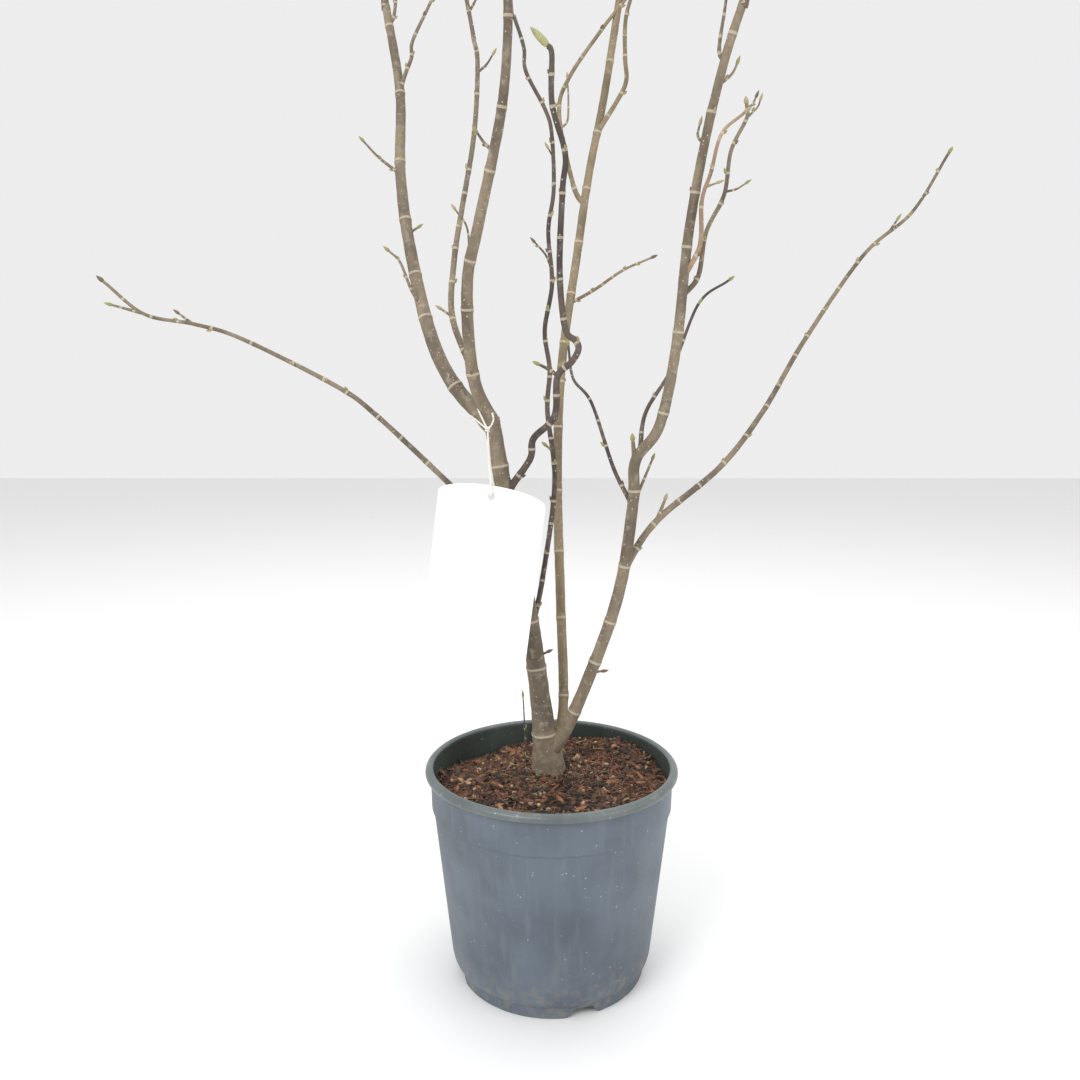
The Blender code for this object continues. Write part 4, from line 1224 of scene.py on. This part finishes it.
mix_paint = Paint("potting_mix", (0.050, 0.030, 0.020), Roughness=0.95)
crumb = mix_paint.noise(0.0018, 5)
mix_patches = mix_paint.noise(0.012, 4).rises(0.4, 0.65)
mix_tone = mix_paint.mix(mix_patches, (0.030, 0.019, 0.013), (0.085, 0.046, 0.028))
mix_tone = mix_paint.mix(crumb.rises(0.55, 0.75) * 0.6, mix_tone, (0.14, 0.082, 0.050))
mix_paint.finish(mix_tone, height=crumb, depth=0.0012)
mix.piece("mix_surface", [mix_paint], "potting_mix", "soil", sharp=70.0)

# %% Chips, crumbs, roots and grains of feed
CHIPS = 2600
CRUMBS = 5200
ROOTS = 420
FIBRES = 300
GRAINS = 26
TRUNK_CLEAR = 14.0
mix_rng = random.Random(f"{SEED} mix")


def place_on_mix(margin, inner=TRUNK_CLEAR):
    """A random point of the mix, even over its area, and clear of the trunk and the wall."""
    radius = math.sqrt(mix_rng.uniform(inner ** 2, (mix_rim - margin) ** 2))
    turn = mix_rng.uniform(0, math.tau)
    return radius * math.cos(turn), radius * math.sin(turn)


def slab(length, width, thick, centre, tilt):
    """An uneven six-sided slab, like a chip of bark."""
    outline = []
    for k in range(6):
        turn = math.tau * (k + 0.5) / 6
        outline.append((math.cos(turn) * length / 2 * mix_rng.uniform(0.75, 1.1),
                        math.sin(turn) * width / 2 * mix_rng.uniform(0.7, 1.15)))
    turned_by = Euler(tilt).to_matrix()
    points = []
    for level, share in ((-0.5, 1.0), (0.5, 0.86)):
        for across, along in outline:
            lift = thick * level * mix_rng.uniform(0.7, 1.2)
            points.append(centre + turned_by @ Vector((across * share, along * share, lift)))
    sides = [(k, (k + 1) % 6, (k + 1) % 6 + 6, k + 6) for k in range(6)]
    return points, [(5, 4, 3, 2, 1, 0), (6, 7, 8, 9, 10, 11), *sides]


def tone_at(x, y):
    """Redder chips lie to the left, the back and the right, darker ones in front of the trunk."""
    front = mound(x, y, (5.0, -60.0), 60.0)
    return mix_rng.choices(range(5), (3.0, 3.0 - 2.0 * front, 2.2 + 3.0 * front, 1.3 - front, 0.4))[0]


chips, crumbs = Stock(), Stock()
for _ in range(CHIPS):
    x, y = place_on_mix(5.0)
    long = mix_rng.random() < 0.3
    length = mix_rng.uniform(9, 19) if long else mix_rng.uniform(4, 9)
    width = length * mix_rng.uniform(0.18, 0.34) if long else length * mix_rng.uniform(0.4, 0.75)
    thick = mix_rng.uniform(0.7, 2.2)
    tilt = (mix_rng.gauss(0, 0.38), mix_rng.gauss(0, 0.30), mix_rng.uniform(0, math.tau))
    centre = Vector((x, y, crumbled(x, y) + mix_rng.uniform(-0.4, 1.7)))
    chips.add(*slab(length, width, thick, centre, tilt), tone=tone_at(x, y))
for _ in range(CRUMBS):
    x, y = place_on_mix(1.5, 11.0)
    size = mix_rng.uniform(0.7, 2.4)
    centre = Vector((x, y, crumbled(x, y) + size * 0.3))
    tilt = tuple(mix_rng.uniform(0, math.tau) for _ in range(3))
    crumbs.add(*slab(size * 1.3, size, size * 0.8, centre, tilt), tone=tone_at(x, y))


def chip_paint(name, light, dark):
    """Broken bark: fibrous along, lighter where it is worn."""
    paint = Paint(name, light, Roughness=0.88)
    fibre = paint.noise(0.0016, 4, (1, 1, 1))
    patch = paint.noise(0.006, 3)
    colour = paint.mix(patch.rises(0.38, 0.66), light, dark)
    return paint.finish(colour, height=fibre, depth=0.0006)


chip_paints = [
    chip_paint("chip_red", (0.150, 0.066, 0.037), (0.080, 0.036, 0.022)),
    chip_paint("chip_brown", (0.105, 0.055, 0.032), (0.056, 0.030, 0.019)),
    chip_paint("chip_black", (0.038, 0.024, 0.017), (0.018, 0.012, 0.010)),
    chip_paint("chip_orange", (0.270, 0.125, 0.055), (0.150, 0.070, 0.034)),
    chip_paint("chip_pale", (0.420, 0.300, 0.190), (0.280, 0.185, 0.110)),
]
chips.piece("bark_chips", chip_paints, "potting_mix", sharp=30.0)
crumbs.piece("mix_crumbs", chip_paints, "potting_mix", sharp=60.0)


def add_strand(stock, x, y, length, radius, tone, lift):
    """A thread that lies over the mix and wanders."""
    turn = mix_rng.uniform(0, math.tau)
    path = []
    for _ in range(9):
        if math.hypot(x, y) > mix_rim - 1.5:
            break
        path.append(Vector((x, y, crumbled(x, y) + radius + mix_rng.uniform(0.2, lift))))
        turn += mix_rng.uniform(-0.5, 0.5)
        x += math.cos(turn) * length / 8
        y += math.sin(turn) * length / 8
    if len(path) > 3:
        path = smooth(path, 2.0)
        radii = [radius * (1.0 - 0.6 * i / len(path)) for i in range(len(path))]
        stock.add(*tube(path, radii, 5), tone=tone)


threads = Stock()
for _ in range(ROOTS):
    x, y = place_on_mix(8.0, 11.0)
    if math.hypot(x, y + 12.0) < mix_rng.uniform(20, 75):
        add_strand(threads, x, y, mix_rng.uniform(10, 42), mix_rng.uniform(0.16, 0.42),
                   mix_rng.choice((0, 0, 1)), 1.6)
for _ in range(FIBRES):
    x, y = place_on_mix(4.0)
    add_strand(threads, x, y, mix_rng.uniform(8, 30), mix_rng.uniform(0.2, 0.55), mix_rng.choice((1, 2)), 2.4)
root_paints = [
    chip_paint("root_tan", (0.400, 0.300, 0.200), (0.260, 0.180, 0.115)),
    chip_paint("root_brown", (0.180, 0.110, 0.068), (0.110, 0.066, 0.042)),
    chip_paint("fibre_red", (0.200, 0.090, 0.048), (0.120, 0.055, 0.032)),
]
threads.piece("roots_and_fibres", root_paints, "potting_mix")

GRAIN = ((-1.0, 0.05), (-0.8, 0.6), (-0.3, 0.95), (0.3, 0.95), (0.8, 0.6), (1.0, 0.05))
grains = Stock()
for _ in range(GRAINS):
    x, y = place_on_mix(6.0, 20.0)
    size = mix_rng.uniform(1.2, 1.8)
    base = Vector((x, y, crumbled(x, y) + size * 0.9))
    path = [base + Vector((0, 0, size * up)) for up, _ in GRAIN]
    grains.add(*tube(path, [size * wide for _, wide in GRAIN], 10), tone=mix_rng.choice((0, 0, 1)))
grain_paints = [Paint("feed_yellow", (0.480, 0.360, 0.120), Roughness=0.45),
                Paint("feed_brown", (0.330, 0.210, 0.090), Roughness=0.5)]
for paint in grain_paints:
    paint.finish(height=paint.noise(0.0012, 3), depth=0.0003)
grains.piece("feed_grains", grain_paints, "potting_mix")

# %% [markdown]
# ## The shoot from the foot
# A thin dark shoot comes out of the mix behind the trunk and bends over at its tip.

# %% Foot shoot
FOOT_SHOOT_AT = (-21.0, 25.0)
FOOT_SHOOT_RADIUS = 0.9
FOOT_SHOOT = [(30, 5, 200), (24, 3, 160), (8, 25, 100)]
foot = Stock()
x, y = FOOT_SHOOT_AT
start = Vector((x, y, soil_height(x, y) - 2.0))
add_twig(foot, limb_rng, grow(start, FOOT_SHOOT), FOOT_SHOOT_RADIUS, TWIG_THINNEST, 10)
foot.piece("foot_shoot_bark", [barks["dark_bark"]], "dark_bark", "foot_shoot")

# %% [markdown]
# ## Label
# The label is a stiff white card, bare on both sides, with bowed ends and a punched hole. A card that
# hangs outdoors isn't flat, so its middle is bowed back by a millimetre or two. It is a grid of
# points whose rows follow the bowed ends, with a front, a back and an edge.

# %% Cut the card
CARD_WIDTH = 91.0
CARD_SIDE = 138.0
CARD_BOW = 11.0
CARD_THICKNESS = 0.6
CARD_TURN = -15.0
CARD_ROLL = -7.5
CARD_CENTRE = Vector((-58.0, -27.0, 350.0))
CARD_HOLE_RADIUS = 3.0
CARD_HOLE_INSET = 9.0
CARD_CURL = 1.6
CARD_GRID = (48, 72)


def card_axes():
    """Across, up and facing directions of the label."""
    turn, roll = math.radians(CARD_TURN), math.radians(CARD_ROLL)
    level = Vector((math.cos(turn), math.sin(turn), 0))
    across = level * math.cos(roll) + Vector((0, 0, math.sin(roll)))
    up = Vector((0, 0, math.cos(roll))) - level * math.sin(roll)
    return across, up, across.cross(up)


across, up, facing = card_axes()
card_hole = CARD_CENTRE + up * (CARD_SIDE / 2 + CARD_BOW - CARD_HOLE_INSET)


def card_sheet():
    """The card's front and back, joined round its edge."""
    wide, tall = CARD_GRID
    points = []
    for layer in (-0.5, 0.5):
        for row in range(tall + 1):
            v = 2.0 * row / tall - 1.0
            for column in range(wide + 1):
                u = math.sin(math.pi / 2 * (2.0 * column / wide - 1.0))
                rise = v * (CARD_SIDE / 2 + CARD_BOW * math.sqrt(max(1.0 - u * u, 0.0)))
                curl = -CARD_CURL * (1.0 - u * u) * (1.0 - abs(v) ** 3)
                points.append(CARD_CENTRE + across * u * CARD_WIDTH / 2 + up * rise
                              + facing * (curl + layer * CARD_THICKNESS))
    per_layer = (wide + 1) * (tall + 1)
    faces = []
    for row in range(tall):
        for column in range(wide):
            a = row * (wide + 1) + column
            b, c, d = a + 1, a + wide + 2, a + wide + 1
            faces.append((a, d, c, b))
            faces.append(tuple(corner + per_layer for corner in (a, b, c, d)))
    rim = [*range(wide), *(row * (wide + 1) + wide for row in range(tall)),
           *(tall * (wide + 1) + column for column in range(wide, 0, -1)),
           *(row * (wide + 1) for row in range(tall, 0, -1))]
    for a, b in zip(rim, rim[1:] + rim[:1]):
        faces.append((a, b, b + per_layer, a + per_layer))
    return points, faces


card_paint = Paint("card", (0.870, 0.885, 0.860), Roughness=0.38, IOR=1.45)
smudge = card_paint.noise(0.018, 4)
card_colour = card_paint.mix(smudge.rises(0.45, 0.8) * 0.35, (0.870, 0.885, 0.860), (0.80, 0.81, 0.77))
card_paint.finish(card_colour, 0.34 + smudge * 0.14, card_paint.noise(0.0009, 3), 0.00006)
card = Stock()
card.add(*card_sheet())
label_card = card.piece("label_card", [card_paint], "card", "label")
drill = tube([card_hole - facing * 6, card_hole + facing * 6], [CARD_HOLE_RADIUS] * 2, 32)
cut(label_card, [point * MM for point in drill[0]], drill[1])
label_card.data.set_sharp_from_angle(angle=math.radians(40.0))

# %% [markdown]
# ## Tie
# The label hangs on a white string: a loop round the foot of the left leader, a knot, and a strand
# that goes down through the hole and back. String is two threads twisted together, so each route is
# followed by two thin tubes that wind round it.

# %% Twist the string
TIE_RADIUS = 0.8
TIE_LOOP_AT = 17.0
TIE_KNOT = Vector((-52.0, -25.0, 474.0))
THREAD_RADIUS = 0.46
TWIST = 4.2
LOOP_POINTS = 14


def string_routes():
    """The strand through the label, the loop round the leader, the knot's turns and its loose end."""
    leader = paths["left_leader"]
    limb = named_limbs["left_leader"]
    centre = point_at(leader, TIE_LOOP_AT)
    along = (point_at(leader, TIE_LOOP_AT + 4) - point_at(leader, TIE_LOOP_AT - 4)).normalized()
    radius = taper(limb, TIE_LOOP_AT, distances(leader)[-1]) * 1.06 + TIE_RADIUS
    side = along.cross(Vector((0, 0, 1))).normalized()
    other = along.cross(side)
    turns = [math.tau * i / LOOP_POINTS for i in range(LOOP_POINTS)]
    ring = [centre + (side * math.cos(turn) + other * math.sin(turn)) * radius for turn in turns]
    nearest = min(range(LOOP_POINTS), key=lambda i: (ring[i] - TIE_KNOT).length)
    ring = ring[nearest:] + ring[:nearest]
    hole = card_hole + up * (CARD_HOLE_RADIUS - TIE_RADIUS - 3 * CLEAR)
    aside = facing * (CARD_THICKNESS / 2 + TIE_RADIUS + 4 * CLEAR)
    halfway = TIE_KNOT.lerp(hole, 0.5)
    down = [TIE_KNOT, halfway + facing * 1.5, hole + aside + up * 4, hole + aside * 0.8,
            hole - aside * 0.8, hole - aside + up * 4, halfway - facing * 1.5, TIE_KNOT]
    knot_turns = [TIE_KNOT + Vector((math.cos(k * 1.3) * 1.5, math.sin(k * 1.3) * 1.5, 1.8 - k * 0.35))
                  for k in range(12)]
    loose_end = [TIE_KNOT, *(TIE_KNOT + Vector(step) for step in ((3, -2, 3), (5, -3, 8), (4, -3, 13)))]
    return [down, [TIE_KNOT, *ring[1:-1], TIE_KNOT], knot_turns, loose_end]


string = Stock()
for route in string_routes():
    run = Run(route)
    stations = np.linspace(0, run.length, max(8, round(run.length / 0.8)))
    centre_line = frames(run.at(stations))
    for half in (0.0, math.pi):
        wound = []
        for place, (here, side, other) in zip(stations, centre_line):
            turn = half + math.tau * place / TWIST
            wound.append(here + (side * math.cos(turn) + other * math.sin(turn)) * THREAD_RADIUS * 0.8)
        string.add(*tube(wound, [THREAD_RADIUS] * len(wound), 8))
string_paint = Paint("tie", (0.780, 0.770, 0.700), Roughness=0.85)
fuzz = string_paint.noise(0.0007, 3)
string_paint.finish(string_paint.mix(fuzz.rises(0.4, 0.7) * 0.5, (0.80, 0.79, 0.73), (0.55, 0.52, 0.44)),
                    height=fuzz, depth=0.0002)
string.piece("label_string", [string_paint], "tie", "label_tie")

# %% Make the buds' meshes
leaf_buds.piece("leaf_buds", bud_paints, "twig_bark")
flower_buds.piece("flower_buds", [flower_paint], "twig_bark")
bud_hairs.piece("bud_hairs", [hair_paint], "twig_bark")

# %% [markdown]
# ## Floor, light and camera
# The photograph is a bright studio picture on white. A pale floor, a white world and three large soft
# lamps give that: one from the left front, a weaker one from the right, and one above. The camera is
# the photograph's: its distance, tilt and lens were found from the ellipses of the pot's rim and foot.

# %% Stage and light
FLOOR_SIZE = 12.0
floor_mesh = bpy.data.meshes.new("floor")
half = FLOOR_SIZE / 2
floor_corners = [(-half, -half, 0), (half, -half, 0), (half, half, 0), (-half, half, 0)]
floor_mesh.from_pydata(floor_corners, [], [(0, 1, 2, 3)])
floor_paint = Paint("floor", (0.86, 0.86, 0.86), Roughness=0.8)
floor_mesh.materials.append(floor_paint.material)
floor = bpy.data.objects.new("floor", floor_mesh)
bpy.context.scene.collection.objects.link(floor)
floor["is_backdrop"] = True

world = bpy.data.worlds.new("white_world")
world.use_nodes = True
world.node_tree.nodes["Background"].inputs["Color"].default_value = (1.0, 1.0, 1.0, 1.0)
world.node_tree.nodes["Background"].inputs["Strength"].default_value = 0.85
bpy.context.scene.world = world
bpy.context.scene.view_settings.view_transform = "Standard"


def soft_lamp(name, place, size, power):
    """A square lamp that points at the middle of the plant."""
    lamp = bpy.data.lights.new(name, "AREA")
    lamp.size = size
    lamp.energy = power
    made = bpy.data.objects.new(name, lamp)
    bpy.context.scene.collection.objects.link(made)
    made.location = place
    made.rotation_mode = "QUATERNION"
    made.rotation_quaternion = (Vector((0, 0, 0.45)) - Vector(place)).to_track_quat("-Z", "Y")


soft_lamp("key_lamp", (-1.3, -1.7, 2.0), 1.2, 34.0)
soft_lamp("fill_lamp", (1.9, -1.1, 1.3), 1.6, 12.0)
soft_lamp("top_lamp", (0.2, 0.6, 2.8), 2.0, 26.0)

# %% The photograph's camera
PICTURE = 1080
FOCAL_PIXELS = 890
SENSOR = 36.0
CAMERA_PLACE = (-0.010, -0.742, 0.4867)
CAMERA_DOWN = 8.1
camera_data = bpy.data.cameras.new("camera")
camera_data.sensor_width = SENSOR
camera_data.lens = SENSOR * FOCAL_PIXELS / PICTURE
camera_data.clip_start = 0.01
camera = bpy.data.objects.new("camera", camera_data)
camera.location = CAMERA_PLACE
camera.rotation_euler = (math.radians(90.0 - CAMERA_DOWN), 0.0, 0.0)
bpy.context.scene.collection.objects.link(camera)
bpy.context.scene.camera = camera

# %% Print the two boxes and finish
visual_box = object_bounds()
[[list(corner) for corner in box] for box in (cad_box, visual_box)]
print("packed box:", [[round(c, 4) for c in corner] for corner in cad_box])
print("dressed box:", [[round(c, 4) for c in corner] for corner in visual_box])
